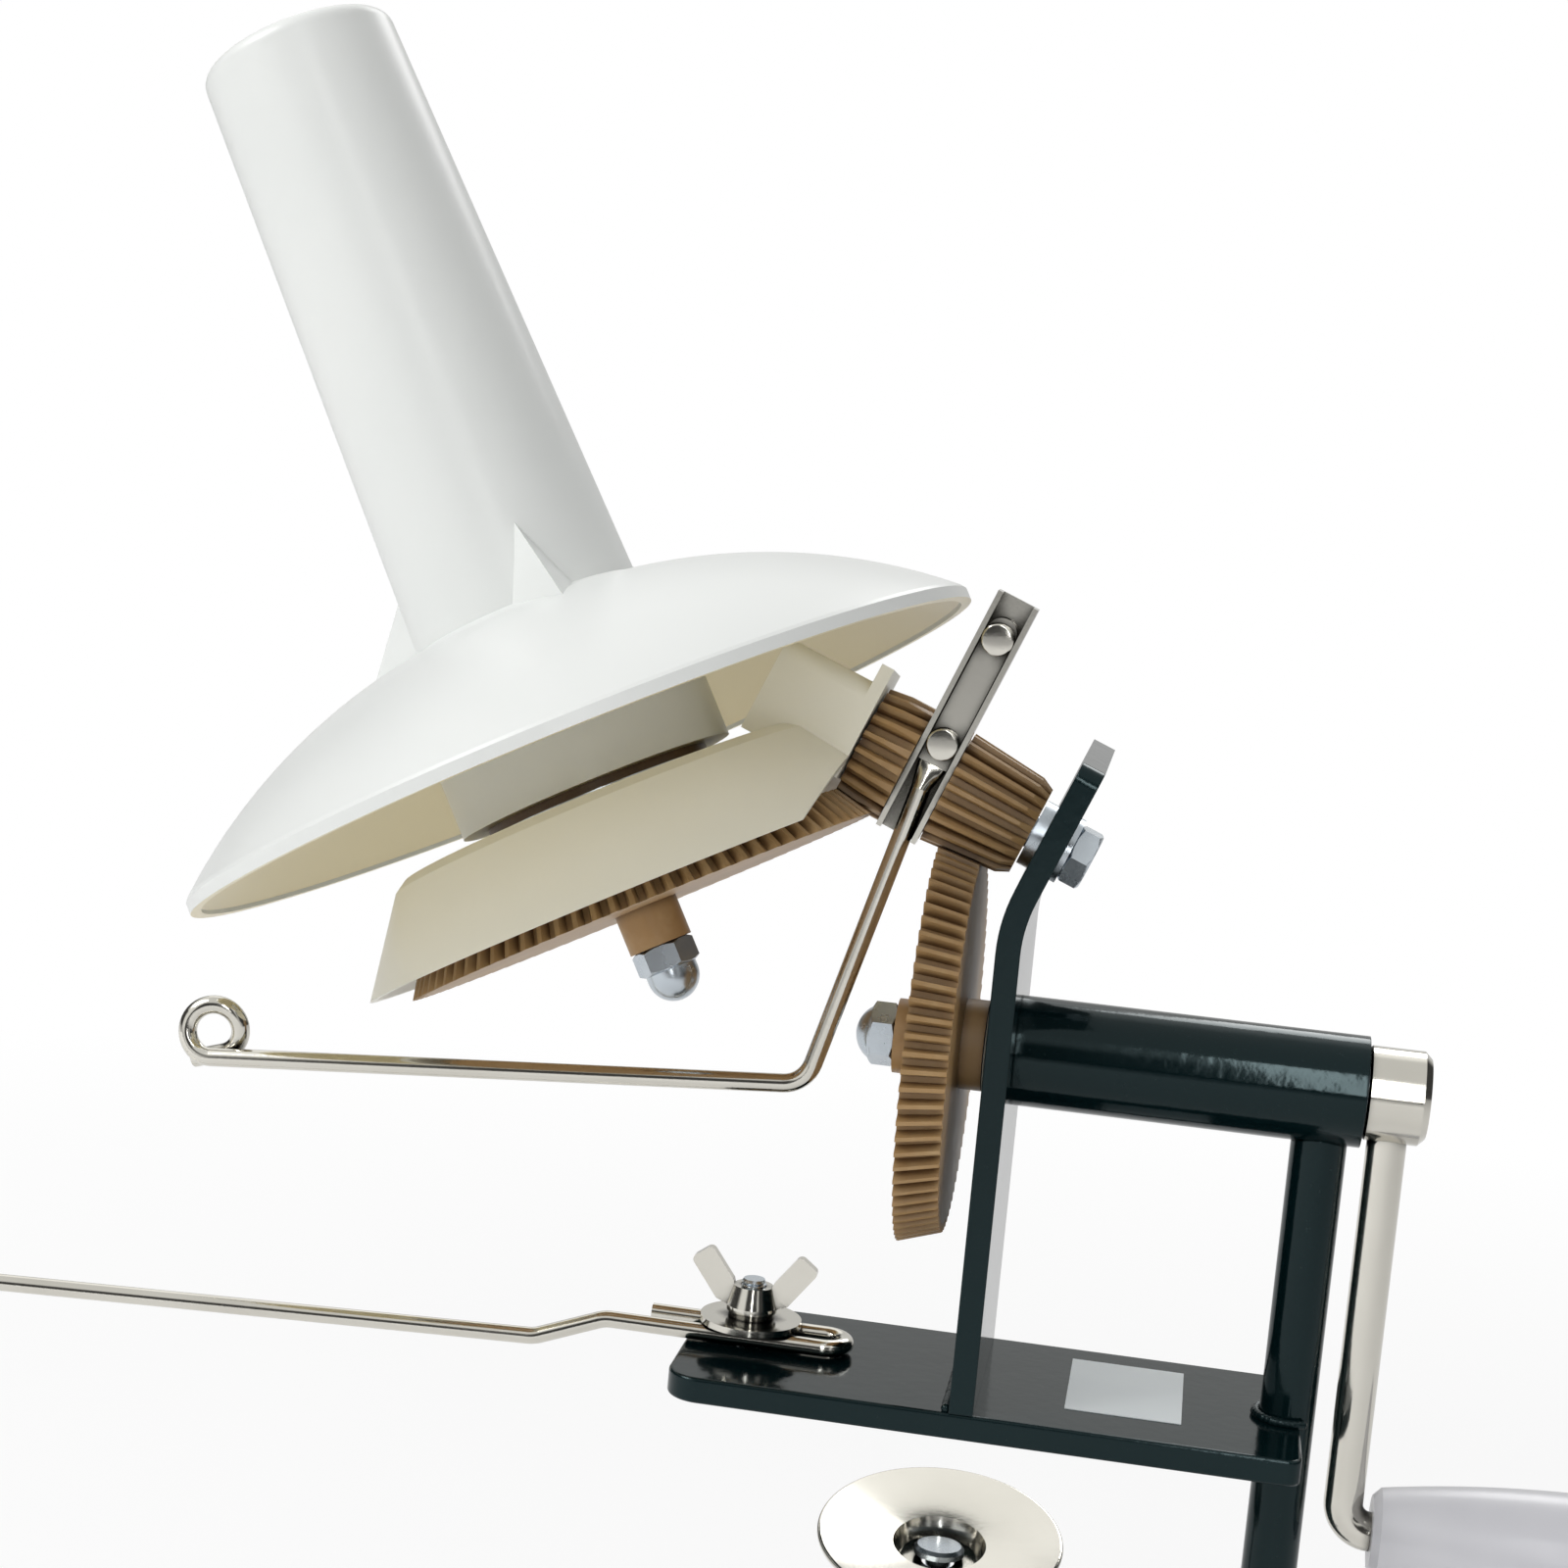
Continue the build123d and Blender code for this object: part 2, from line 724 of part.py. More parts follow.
# ---- domed nut that holds the drive gear ----
with BuildPart() as drive_gear_nut:
    with BuildSketch(Plane(origin=(hub_left, 0, crank_height), z_dir=(-1, 0, 0))):
        RegularPolygon(hex_m8 / 2, 6, major_radius=False)
    extrude(amount=nut_hex_length)
    gear_dome_foot = hub_left - nut_hex_length
    gear_dome_middle = cap_middle(nut_dome_radius, gear_nut_dome)
    with BuildSketch(crank_plane):
        with BuildLine():
            Polyline(
                (gear_dome_foot, nut_dome_radius),
                (gear_dome_foot, 0),
                (gear_dome_foot - gear_nut_dome, 0),
            )
            ThreePointArc(
                (gear_dome_foot - gear_nut_dome, 0),
                (gear_dome_foot - gear_dome_middle[1], gear_dome_middle[0]),
                (gear_dome_foot, nut_dome_radius),
            )
        make_face()
    revolve(axis=crank_axis)
    with BuildSketch(Plane(origin=(hub_left, 0, crank_height), z_dir=(-1, 0, 0))):
        Circle(shaft_thread + weld_gap)
    extrude(amount=nut_hex_length + weld_gap, mode=Mode.SUBTRACT)
drive_gear_nut.part.label = "drive_gear_nut"
export_step(drive_gear_nut.part, "parts/drive_gear_nut.step")

# ---- axle bolt: head outside the bar, plain shank, thinner thread through the bracket ----
head_start = bar_far_station + axle_washer_thickness
nut_seat = block_right - end_plate_thickness
axle_end = nut_seat - bracket_nut_length - axle_overhang
with BuildPart() as axle_bolt:
    with BuildSketch(axle_plane):
        with BuildLine():
            Polyline(
                (axle_end, 0),
                (axle_end, axle_thread),
                (block_right, axle_thread),
                (block_right, axle_radius),
                (head_start, axle_radius),
                (head_start, 0),
                close=True,
            )
        make_face()
    revolve(axis=axle_axis)
    with BuildSketch(square_plane(head_apex, axle_dir, head_start, (0, 1, 0))):
        RegularPolygon(hex_m8 / 2, 6, major_radius=False)
    extrude(amount=axle_head_length)
axle_bolt.part.label = "axle_bolt"
export_step(axle_bolt.part, "parts/axle_bolt.step")

with BuildPart() as axle_washer:
    with BuildSketch(square_plane(head_apex, axle_dir, bar_far_station, (0, 1, 0))):
        Circle(axle_washer_radius)
        Circle(axle_radius + weld_gap, mode=Mode.SUBTRACT)
    extrude(amount=axle_washer_thickness)
axle_washer.part.label = "axle_washer"
export_step(axle_washer.part, "parts/axle_washer.step")

# ---- spacer between the bar and the pinion ----
spacer_left = pinion_right + face_gap
with BuildPart() as axle_spacer:
    with BuildSketch(square_plane(head_apex, axle_dir, spacer_left, (0, 1, 0))):
        Circle(axle_washer_radius)
        Circle(axle_radius + weld_gap, mode=Mode.SUBTRACT)
    extrude(amount=bar_near_station - spacer_left)
axle_spacer.part.label = "axle_spacer"
export_step(axle_spacer.part, "parts/axle_spacer.step")

# ---- nut inside the bracket's block ----
with BuildPart() as bracket_nut:
    with BuildSketch(square_plane(head_apex, axle_dir, nut_seat, (0, 1, 0))):
        RegularPolygon(hex_m6 / 2, 6, major_radius=False)
        Circle(axle_thread + weld_gap, mode=Mode.SUBTRACT)
    extrude(amount=-bracket_nut_length)
bracket_nut.part.label = "bracket_nut"
export_step(bracket_nut.part, "parts/bracket_nut.step")

# ---- twin pinion: one cone meshes with the drive gear, the other with the head's disc ----
drive_side_far = apex_spacing - pinion_slot_right
drive_side_near = apex_spacing - pinion_right
with BuildPart() as twin_pinion:
    with BuildSketch(square_plane(drive_apex, -axle_dir, drive_side_near, -axle_up)):
        with BuildLine():
            Polyline(bevel_outline(pinion_teeth, drive_pinion_cone, drive_side_near, 0.5), close=True)
        make_face()
    with BuildSketch(square_plane(drive_apex, -axle_dir, drive_side_far, -axle_up)):
        with BuildLine():
            Polyline(bevel_outline(pinion_teeth, drive_pinion_cone, drive_side_far, 0.5), close=True)
        make_face()
    loft(ruled=True)
    with BuildSketch(square_plane(head_apex, axle_dir, pinion_left, -head_up)):
        with BuildLine():
            Polyline(bevel_outline(pinion_teeth, disc_pinion_cone, pinion_left, 0.5), close=True)
        make_face()
    with BuildSketch(square_plane(head_apex, axle_dir, pinion_slot_left, -head_up)):
        with BuildLine():
            Polyline(bevel_outline(pinion_teeth, disc_pinion_cone, pinion_slot_left, 0.5), close=True)
        make_face()
    loft(ruled=True)
    with BuildSketch(axle_plane):
        with BuildLine():
            Polyline(
                (pinion_left - face_gap, 0),
                (pinion_left - face_gap, pinion_tip_limit),
                (pinion_right - pinion_end_chamfer, pinion_tip_limit),
                (pinion_right - pinion_end_chamfer, pinion_end_radius + pinion_end_chamfer / 2),
                (pinion_right, pinion_end_radius),
                (pinion_right, 0),
                close=True,
            )
        make_face()
    revolve(axis=axle_axis, mode=Mode.INTERSECT)
    with BuildSketch(square_plane(head_apex, axle_dir, pinion_left, axle_up)):
        Circle(pinion_boss_radius)
    extrude(amount=-(pinion_left - block_right - face_gap))
    with BuildSketch(square_plane(head_apex, axle_dir, pinion_slot_left, (0, 1, 0))):
        Circle(pinion_core_radius)
    extrude(amount=pinion_slot_right - pinion_slot_left)
    with BuildSketch(axle_plane.offset(slot_floor)):
        with Locations(((pinion_slot_left + pinion_slot_right) / 2, 0)):
            Rectangle(pinion_slot_right - pinion_slot_left, 4 * pinion_core_radius)
    extrude(amount=2 * pinion_core_radius, mode=Mode.SUBTRACT)
    with BuildSketch(square_plane(head_apex, axle_dir, block_right, axle_up)):
        Circle(axle_radius + running_fit)
    extrude(amount=pinion_right - block_right, mode=Mode.SUBTRACT)
    with BuildSketch(axle_plane.offset(slot_floor - screw_grip)):
        with Locations(((pinion_slot_left + pinion_slot_right) / 2, lower_screw_at)):
            Circle(screw_radius + weld_gap)
    extrude(amount=screw_grip, mode=Mode.SUBTRACT)
twin_pinion.part.label = "twin_pinion"
export_step(twin_pinion.part, "parts/twin_pinion.step")

# ---- flyer channel: folded strip screwed into the pinion's slot ----
channel_station = (pinion_slot_left + pinion_slot_right) / 2
channel_middle = (channel_bottom + channel_top) / 2
tongue_back = slot_floor + channel_wall
with BuildPart() as flyer_channel:
    with BuildSketch(axle_plane.offset(slot_floor)):
        with Locations((channel_station, channel_middle)):
            Rectangle(channel_width, channel_top - channel_bottom)
    extrude(amount=channel_depth)
    with BuildSketch(axle_plane.offset(slot_floor + channel_wall)):
        with Locations((channel_station, channel_middle)):
            Rectangle(channel_width - 2 * channel_wall, 2 * (channel_top - channel_bottom))
    extrude(amount=channel_depth, mode=Mode.SUBTRACT)
    with BuildSketch(axle_plane.offset(slot_floor)):
        with Locations((channel_station, lower_screw_at), (channel_station, upper_screw_at)):
            Circle(screw_radius + weld_gap)
    extrude(amount=channel_wall, mode=Mode.SUBTRACT)
flyer_channel.part.label = "flyer_channel"
export_step(flyer_channel.part, "parts/flyer_channel.step")

# ---- flyer wire: flattened tongue, leg past the gear, long reach under the head, yarn eye ----
wire_depth = -(tongue_back + flyer_wire_radius)
leg_start = axle_point(channel_station + leg_shift, leg_top, wire_depth)
leg_corner = axle_point(flyer_bend_station, flyer_bend_drop, wire_depth)
eye_foot = axle_point(flyer_reach_station, flyer_reach_drop, wire_depth)
reach_dir = (eye_foot - leg_corner).normalized()
eye_up = depth_dir.cross(reach_dir)
if eye_up.Z < 0:
    eye_up = eye_up * -1
leg_dir = (leg_corner - leg_start).normalized()
flyer_turn = reach_dir.get_angle(leg_dir)
flyer_tangent = flyer_bend_radius * tan(radians(flyer_turn) / 2)
bend_in = leg_corner - leg_dir * flyer_tangent
bend_out = leg_corner + reach_dir * flyer_tangent
tongue_root = axle_point(channel_station, tongue_bottom, -(tongue_back + tongue_thickness / 2))
flyer_stations = eye_route(eye_foot, reach_dir, eye_up, flyer_eye_radius, flyer_eye_turn, flyer_eye_pitch)
with BuildPart() as flyer_wire:
    with BuildLine() as flyer_path:
        Line(leg_start, bend_in)
        TangentArc(bend_in, bend_out, tangent=leg_dir)
        Line(bend_out, eye_foot)
        for here, there in zip(flyer_stations, flyer_stations[1:]):
            arc_pair(here[0], here[1], there[0], there[1])
        tail_start = flyer_stations[-1][0]
        Line(tail_start, tail_start + flyer_stations[-1][1] * flyer_tail)
    with BuildSketch(Plane(origin=leg_start, x_dir=(0, 1, 0), z_dir=leg_dir)):
        Circle(flyer_wire_radius)
    sweep()
    with BuildSketch(Plane(origin=leg_start, x_dir=(0, 1, 0), z_dir=leg_dir)):
        Circle(flyer_wire_radius)
    with BuildSketch(Plane(origin=tongue_root, x_dir=(0, 1, 0), z_dir=axle_up * -1)):
        RectangleRounded(tongue_thickness, tongue_width, tongue_round)
    loft()
    with BuildSketch(axle_plane.offset(tongue_back)):
        with Locations((channel_station, (tongue_bottom + tongue_top - tongue_width / 2) / 2)):
            Rectangle(tongue_width, tongue_top - tongue_width / 2 - tongue_bottom)
        with Locations((channel_station, tongue_top - tongue_width / 2)):
            Circle(tongue_width / 2)
    extrude(amount=tongue_thickness)
    with BuildSketch(axle_plane.offset(tongue_back)):
        with Locations((channel_station, lower_screw_at), (channel_station, upper_screw_at)):
            Circle(screw_radius + weld_gap)
    extrude(amount=tongue_thickness, mode=Mode.SUBTRACT)
flyer_wire.part.label = "flyer_wire"
export_step(flyer_wire.part, "parts/flyer_wire.step")
flyer_gap = least_gap(flyer_path.wire(), flyer_wire_radius, 4 * flyer_wire_radius)
print("flyer eye: least gap of the wire to itself", round(flyer_gap, 2), "mm")

# ---- two cheese-head screws of the flyer, the upper one with a nut behind the channel ----
head_seat = tongue_back + tongue_thickness
screw_tip = slot_floor - screw_grip + running_fit
with BuildPart() as lower_flyer_screw:
    with BuildSketch(axle_plane.offset(head_seat)):
        with Locations((channel_station, lower_screw_at)):
            Circle(screw_head_radius)
    extrude(amount=screw_head_height)
    chamfer(lower_flyer_screw.edges().group_by(Axis.Y)[0], screw_head_edge)
    with BuildSketch(axle_plane.offset(screw_tip)):
        with Locations((channel_station, lower_screw_at)):
            Circle(screw_radius)
    extrude(amount=head_seat - screw_tip)
lower_flyer_screw.part.label = "lower_flyer_screw"
export_step(lower_flyer_screw.part, "parts/lower_flyer_screw.step")

nut_screw_tip = slot_floor - flyer_nut_height - screw_overhang
with BuildPart() as upper_flyer_screw:
    with BuildSketch(axle_plane.offset(head_seat)):
        with Locations((channel_station, upper_screw_at)):
            Circle(screw_head_radius)
    extrude(amount=screw_head_height)
    chamfer(upper_flyer_screw.edges().group_by(Axis.Y)[0], screw_head_edge)
    with BuildSketch(axle_plane.offset(nut_screw_tip)):
        with Locations((channel_station, upper_screw_at)):
            Circle(screw_radius)
    extrude(amount=head_seat - nut_screw_tip)
upper_flyer_screw.part.label = "upper_flyer_screw"
export_step(upper_flyer_screw.part, "parts/upper_flyer_screw.step")

with BuildPart() as flyer_nut:
    with BuildSketch(axle_plane.offset(slot_floor - flyer_nut_height)):
        with Locations((channel_station, upper_screw_at)):
            RegularPolygon(hex_m4 / 2, 6, major_radius=False)
            Circle(screw_radius + weld_gap, mode=Mode.SUBTRACT)
    extrude(amount=flyer_nut_height)
flyer_nut.part.label = "flyer_nut"
export_step(flyer_nut.part, "parts/flyer_nut.step")

# ---- head bracket: plate with a conical skirt, and a hollow block that holds the axle's end ----
skirt_inner_top = skirt_top_radius - skirt_wall
skirt_inner_bottom = skirt_bottom_radius - skirt_wall
pocket_left = block_left + block_wall
pocket_high = block_high - block_wall
pocket_low = block_low * 2
with BuildPart() as head_bracket:
    with BuildSketch(head_plane):
        with BuildLine():
            Polyline(
                (0, bracket_top),
                (skirt_top_radius - skirt_shoulder, bracket_top),
                (skirt_top_radius, bracket_top - skirt_wall),
                (skirt_bottom_radius, skirt_bottom),
                (0, skirt_bottom),
                close=True,
            )
        make_face()
    revolve(axis=head_axis)
    with BuildSketch(block_plane):
        with Locations(((block_left + block_right) / 2, (block_low + block_high) / 2)):
            Rectangle(block_right - block_left, block_high - block_low)
    extrude(amount=block_half_width, both=True)
    block_ridges = head_bracket.edges().filter_by(Axis(head_apex, axle_dir)).sort_by(Axis(head_apex, head_up))
    fillet(block_ridges[-2:], block_edge)
    with BuildSketch(head_plane):
        with BuildLine():
            Polyline(
                (0, bracket_top - bracket_plate),
                (skirt_inner_top - skirt_inner_corner, bracket_top - bracket_plate),
                (skirt_inner_top, bracket_top - bracket_plate - skirt_inner_corner),
                (skirt_inner_bottom, skirt_bottom),
                (skirt_inner_bottom, skirt_bottom * 1.5),
                (0, skirt_bottom * 1.5),
                close=True,
            )
        make_face()
    revolve(axis=head_axis, mode=Mode.SUBTRACT)
    with BuildSketch(block_plane):
        with Locations(((pocket_left + nut_seat) / 2, (pocket_low + pocket_high) / 2)):
            Rectangle(nut_seat - pocket_left, pocket_high - pocket_low)
    extrude(amount=block_half_width - block_wall, both=True, mode=Mode.SUBTRACT)
    with BuildSketch(block_plane):
        with Locations((nut_seat + end_plate_thickness / 2, (block_low + end_plate_high) / 2)):
            Rectangle(end_plate_thickness, end_plate_high - block_low)
    extrude(amount=block_half_width, both=True)
    with BuildSketch(square_plane(head_apex, axle_dir, block_right, axle_up)):
        Rectangle(8 * skirt_bottom_radius, 8 * skirt_bottom_radius)
    extrude(amount=2 * skirt_bottom_radius, mode=Mode.SUBTRACT)
    with BuildSketch(square_plane(head_apex, spindle_dir, bracket_top, mesh_dir)):
        Circle(journal_radius + running_fit)
    extrude(amount=-bracket_plate, mode=Mode.SUBTRACT)
    with BuildSketch(square_plane(head_apex, axle_dir, block_right, axle_up)):
        Circle(axle_thread + weld_gap)
    extrude(amount=-end_plate_thickness, mode=Mode.SUBTRACT)
head_bracket.part.label = "head_bracket"
export_step(head_bracket.part, "parts/head_bracket.step")

# ---- steel wear ring round the journal, lying on the bracket ----
with BuildPart() as wear_ring:
    with BuildSketch(square_plane(head_apex, spindle_dir, bracket_top, mesh_dir)):
        Circle(ring_outer)
        Circle(journal_radius + running_fit, mode=Mode.SUBTRACT)
    extrude(amount=ring_thickness)
wear_ring.part.label = "wear_ring"
export_step(wear_ring.part, "parts/wear_ring.step")

# ---- disc gear: journal, drum, toothed rim that meshes with the pinion, and lower hub ----
with BuildPart() as disc_gear:
    with BuildSketch(square_plane(head_apex, spindle_dir * -1, -disc_top, mesh_dir)):
        with BuildLine():
            Polyline(bevel_outline(disc_teeth, disc_cone, -disc_top, 0.0), close=True)
        make_face()
    with BuildSketch(square_plane(head_apex, spindle_dir * -1, -disc_bottom, mesh_dir)):
        with BuildLine():
            Polyline(bevel_outline(disc_teeth, disc_cone, -disc_bottom, 0.0), close=True)
        make_face()
    loft(ruled=True)
    with BuildSketch(square_plane(head_apex, spindle_dir * -1, -disc_top, mesh_dir)):
        Circle(drum_radius)
    extrude(amount=-(bracket_top - bracket_plate - face_gap - disc_top))
    with BuildSketch(square_plane(head_apex, spindle_dir * -1, -disc_top, mesh_dir)):
        Circle(journal_radius)
    extrude(amount=-(boss_bottom - disc_top))
    with BuildSketch(square_plane(head_apex, spindle_dir * -1, -disc_bottom, mesh_dir)):
        Circle(disc_hub_radius)
    extrude(amount=disc_bottom - disc_hub_bottom)
    with BuildSketch(square_plane(head_apex, spindle_dir * -1, -boss_bottom, mesh_dir)):
        Circle(spindle_radius + weld_gap)
    extrude(amount=boss_bottom - disc_hub_bottom, mode=Mode.SUBTRACT)
disc_gear.part.label = "disc_gear"
export_step(disc_gear.part, "parts/disc_gear.step")

# ---- bobbin tube: tapered, closed at the top, its foot a plain spigot in the flange ----
floor_top = boss_bottom + boss_floor
boss_top = tube_base - boss_foot_drop - dome_wall
rim_inner = rim_radius - dome_wall
with BuildPart() as bobbin_tube:
    with BuildSketch(head_plane):
        with BuildLine():
            Line((0, tube_top - tube_wall), (0, tube_top))
            Line((0, tube_top), (tube_top_radius - tube_edge, tube_top))
            ThreePointArc(
                (tube_top_radius - tube_edge, tube_top),
                (tube_top_radius - tube_edge_middle * tube_edge, tube_top - tube_edge_middle * tube_edge),
                (tube_top_radius, tube_top - tube_edge),
            )
            Line((tube_top_radius, tube_top - tube_edge), (tube_base_radius, tube_base))
            Line((tube_base_radius, tube_base), (tube_base_radius, boss_top))
            Line((tube_base_radius, boss_top), (tube_base_radius - tube_wall, boss_top))
            inside_foot = (tube_base_radius - tube_wall, boss_top)
            inside_top = (tube_top_radius - tube_wall, tube_top - tube_wall)
            Line(inside_foot, inside_top)
            Line((tube_top_radius - tube_wall, tube_top - tube_wall), (0, tube_top - tube_wall))
        make_face()
    revolve(axis=head_axis)
bobbin_tube.part.label = "bobbin_tube"
export_step(bobbin_tube.part, "parts/bobbin_tube.step")

# ---- bobbin flange: dome with a lip, a bore for the tube's spigot and gussets against the tube ----
flange_bore = tube_base_radius + weld_gap
tube_taper = (tube_base_radius - tube_top_radius) / (tube_top - tube_edge - tube_base)
with BuildPart() as bobbin_flange:
    with BuildSketch(head_plane):
        with BuildLine():
            Line((flange_bore, boss_top), (flange_bore, tube_base))
            Line((flange_bore, tube_base), (dome_start_radius, tube_base - dome_drop))
            ThreePointArc(
                (dome_start_radius, tube_base - dome_drop),
                (dome_mid_radius, dome_mid),
                (rim_radius - rim_edge, rim_height),
            )
            Line((rim_radius - rim_edge, rim_height), (rim_radius, rim_height - rim_edge_drop))
            Line((rim_radius, rim_height - rim_edge_drop), (rim_radius, rim_height - rim_lip))
            Line((rim_radius, rim_height - rim_lip), (rim_inner, rim_height - rim_lip))
            Line((rim_inner, rim_height - rim_lip), (rim_inner, rim_height - dome_wall))
            ThreePointArc(
                (rim_inner, rim_height - dome_wall),
                (dome_mid_radius - dome_inner_shift, dome_mid - dome_wall),
                (boss_radius, boss_top),
            )
            Line((boss_radius, boss_top), (flange_bore, boss_top))
        make_face()
    revolve(axis=head_axis)
    for gusset in range(gusset_count):
        azimuth = gusset_azimuth + 360 / gusset_count * gusset
        inner = tube_base_radius - tube_wall / 2
        spread = degrees(asin(gusset_half_width / inner))
        ConvexPolyhedron(
            [
                head_point(inner, azimuth, gusset_top),
                head_point(inner, azimuth, tube_base - gusset_root_drop),
                head_point(inner, azimuth - spread, tube_base - gusset_root_drop),
                head_point(inner, azimuth + spread, tube_base - gusset_root_drop),
                head_point(gusset_foot_radius, azimuth, dome_mid + gusset_foot_rise),
                head_point(gusset_foot_radius - gusset_toe_length, azimuth, dome_mid + gusset_toe_rise),
            ]
        )
    with BuildSketch(head_plane):
        with BuildLine():
            Polyline(
                (0, tube_base),
                (flange_bore, tube_base),
                (flange_bore - tube_taper * (tube_top - tube_base), tube_top),
                (0, tube_top),
                close=True,
            )
        make_face()
    revolve(axis=head_axis, mode=Mode.SUBTRACT)
    with BuildSketch(square_plane(head_apex, spindle_dir, tube_base, mesh_dir)):
        Circle(flange_bore)
    extrude(amount=boss_top - tube_base, mode=Mode.SUBTRACT)
bobbin_flange.part.label = "bobbin_flange"
export_step(bobbin_flange.part, "parts/bobbin_flange.step")

# ---- bobbin hub: cup under the flange whose floor takes the spindle bolt ----
with BuildPart() as bobbin_hub:
    with BuildSketch(head_plane):
        with BuildLine():
            Polyline(
                (spindle_radius + weld_gap, boss_bottom),
                (boss_radius, boss_bottom),
                (boss_radius, boss_top - weld_gap),
                (boss_radius - boss_wall, boss_top - weld_gap),
                (boss_radius - boss_wall, floor_top),
                (spindle_radius + weld_gap, floor_top),
                close=True,
            )
        make_face()
    revolve(axis=head_axis)
bobbin_hub.part.label = "bobbin_hub"
export_step(bobbin_hub.part, "parts/bobbin_hub.step")

# ---- spindle bolt inside the bobbin, clamping bobbin and disc gear together ----
spindle_washer_top = floor_top + axle_washer_thickness
spindle_end = disc_hub_bottom - nut_hex_length
with BuildPart() as spindle_washer:
    with BuildSketch(square_plane(head_apex, spindle_dir, floor_top, mesh_dir)):
        Circle(axle_washer_radius)
        Circle(spindle_radius + weld_gap, mode=Mode.SUBTRACT)
    extrude(amount=axle_washer_thickness)
spindle_washer.part.label = "spindle_washer"
export_step(spindle_washer.part, "parts/spindle_washer.step")

with BuildPart() as spindle_bolt:
    with BuildSketch(square_plane(head_apex, spindle_dir, spindle_washer_top, mesh_dir)):
        RegularPolygon(hex_m8 / 2, 6, major_radius=False)
    extrude(amount=spindle_head_length)
    with BuildSketch(square_plane(head_apex, spindle_dir, spindle_washer_top, mesh_dir)):
        Circle(spindle_radius)
    extrude(amount=-(spindle_washer_top - spindle_end))
spindle_bolt.part.label = "spindle_bolt"
export_step(spindle_bolt.part, "parts/spindle_bolt.step")

spindle_dome_foot = disc_hub_bottom - nut_hex_length - spindle_nut_collar
spindle_dome_middle = cap_middle(nut_dome_radius, spindle_nut_dome)
with BuildPart() as spindle_nut:
    with BuildSketch(square_plane(head_apex, spindle_dir, disc_hub_bottom, mesh_dir)):
        RegularPolygon(hex_m8 / 2, 6, major_radius=False)
    extrude(amount=-nut_hex_length)
    with BuildSketch(head_plane):
        with BuildLine():
            Polyline(
                (0, spindle_dome_foot - spindle_nut_dome),
                (0, disc_hub_bottom - nut_hex_length),
                (nut_dome_radius, disc_hub_bottom - nut_hex_length),
                (nut_dome_radius, spindle_dome_foot),
            )
            ThreePointArc(
                (nut_dome_radius, spindle_dome_foot),
                (spindle_dome_middle[0], spindle_dome_foot - spindle_dome_middle[1]),
                (0, spindle_dome_foot - spindle_nut_dome),
            )
        make_face()
    revolve(axis=head_axis)
    with BuildSketch(square_plane(head_apex, spindle_dir, disc_hub_bottom, mesh_dir)):
        Circle(spindle_radius + weld_gap)
    extrude(amount=-(nut_hex_length + weld_gap), mode=Mode.SUBTRACT)
spindle_nut.part.label = "spindle_nut"
export_step(spindle_nut.part, "parts/spindle_nut.step")

# ---- guide arm: wire bent into a hairpin round the stud, a long arm and an upright eye ----
guide_height = plate_thickness + face_gap + guide_wire_radius
low_height = guide_wire_radius + face_gap
near_y = stud_y - hairpin_half
far_y = stud_y + hairpin_half
bow_x = stud_x + hairpin_right
guide_end = Vector(guide_end_x, guide_end_y, low_height)
guide_turn = Vector(jog_end, guide_turn_y, low_height)
guide_dir = (guide_end - guide_turn).normalized()
guide_up = Vector(0, 0, 1)
guide_stations = eye_route(guide_end, guide_dir, guide_up, guide_eye_radius, guide_eye_turn, guide_eye_pitch)
with BuildPart() as guide_wire:
    with BuildLine() as guide_path:
        Line((stud_x + hairpin_far_end, far_y, guide_height), (bow_x, far_y, guide_height))
        ThreePointArc(
            (bow_x, far_y, guide_height),
            (bow_x + hairpin_half, stud_y, guide_height),
            (bow_x, near_y, guide_height),
        )
        FilletPolyline(
            (bow_x, near_y, guide_height),
            (jog_start, near_y, guide_height),
            guide_turn,
            guide_end,
            radius=guide_bend_radius,
        )
        for here, there in zip(guide_stations, guide_stations[1:]):
            arc_pair(here[0], here[1], there[0], there[1])
        guide_tail_start = guide_stations[-1][0]
        Line(guide_tail_start, guide_tail_start + guide_stations[-1][1] * guide_tail)
    with BuildSketch(Plane(origin=(stud_x + hairpin_far_end, far_y, guide_height), z_dir=(1, 0, 0))):
        Circle(guide_wire_radius)
    sweep()
guide_wire.part.label = "guide_wire"
export_step(guide_wire.part, "parts/guide_wire.step")
guide_gap = least_gap(guide_path.wire(), guide_wire_radius, 4 * guide_wire_radius)
print("guide eye: least gap of the wire to itself", round(guide_gap, 2), "mm")

# ---- stud, flat washer, lock ring and wing nut over the hairpin ----
with BuildPart() as guide_stud:
    with BuildSketch(Plane.XY):
        with Locations((stud_x, stud_y)):
            Circle(stud_radius)
    extrude(amount=stud_top)
    chamfer(guide_stud.edges().group_by(Axis.Z)[-1], stud_edge)
guide_stud.part.label = "guide_stud"
export_step(guide_stud.part, "parts/guide_stud.step")

washer_bottom = guide_height + guide_wire_radius + face_gap
with BuildPart() as guide_washer:
    with BuildSketch(Plane.XY.offset(washer_bottom)):
        with Locations((stud_x, stud_y)):
            Circle(guide_washer_radius)
            Circle(stud_radius + running_fit, mode=Mode.SUBTRACT)
    extrude(amount=guide_washer_thickness)
guide_washer.part.label = "guide_washer"
export_step(guide_washer.part, "parts/guide_washer.step")

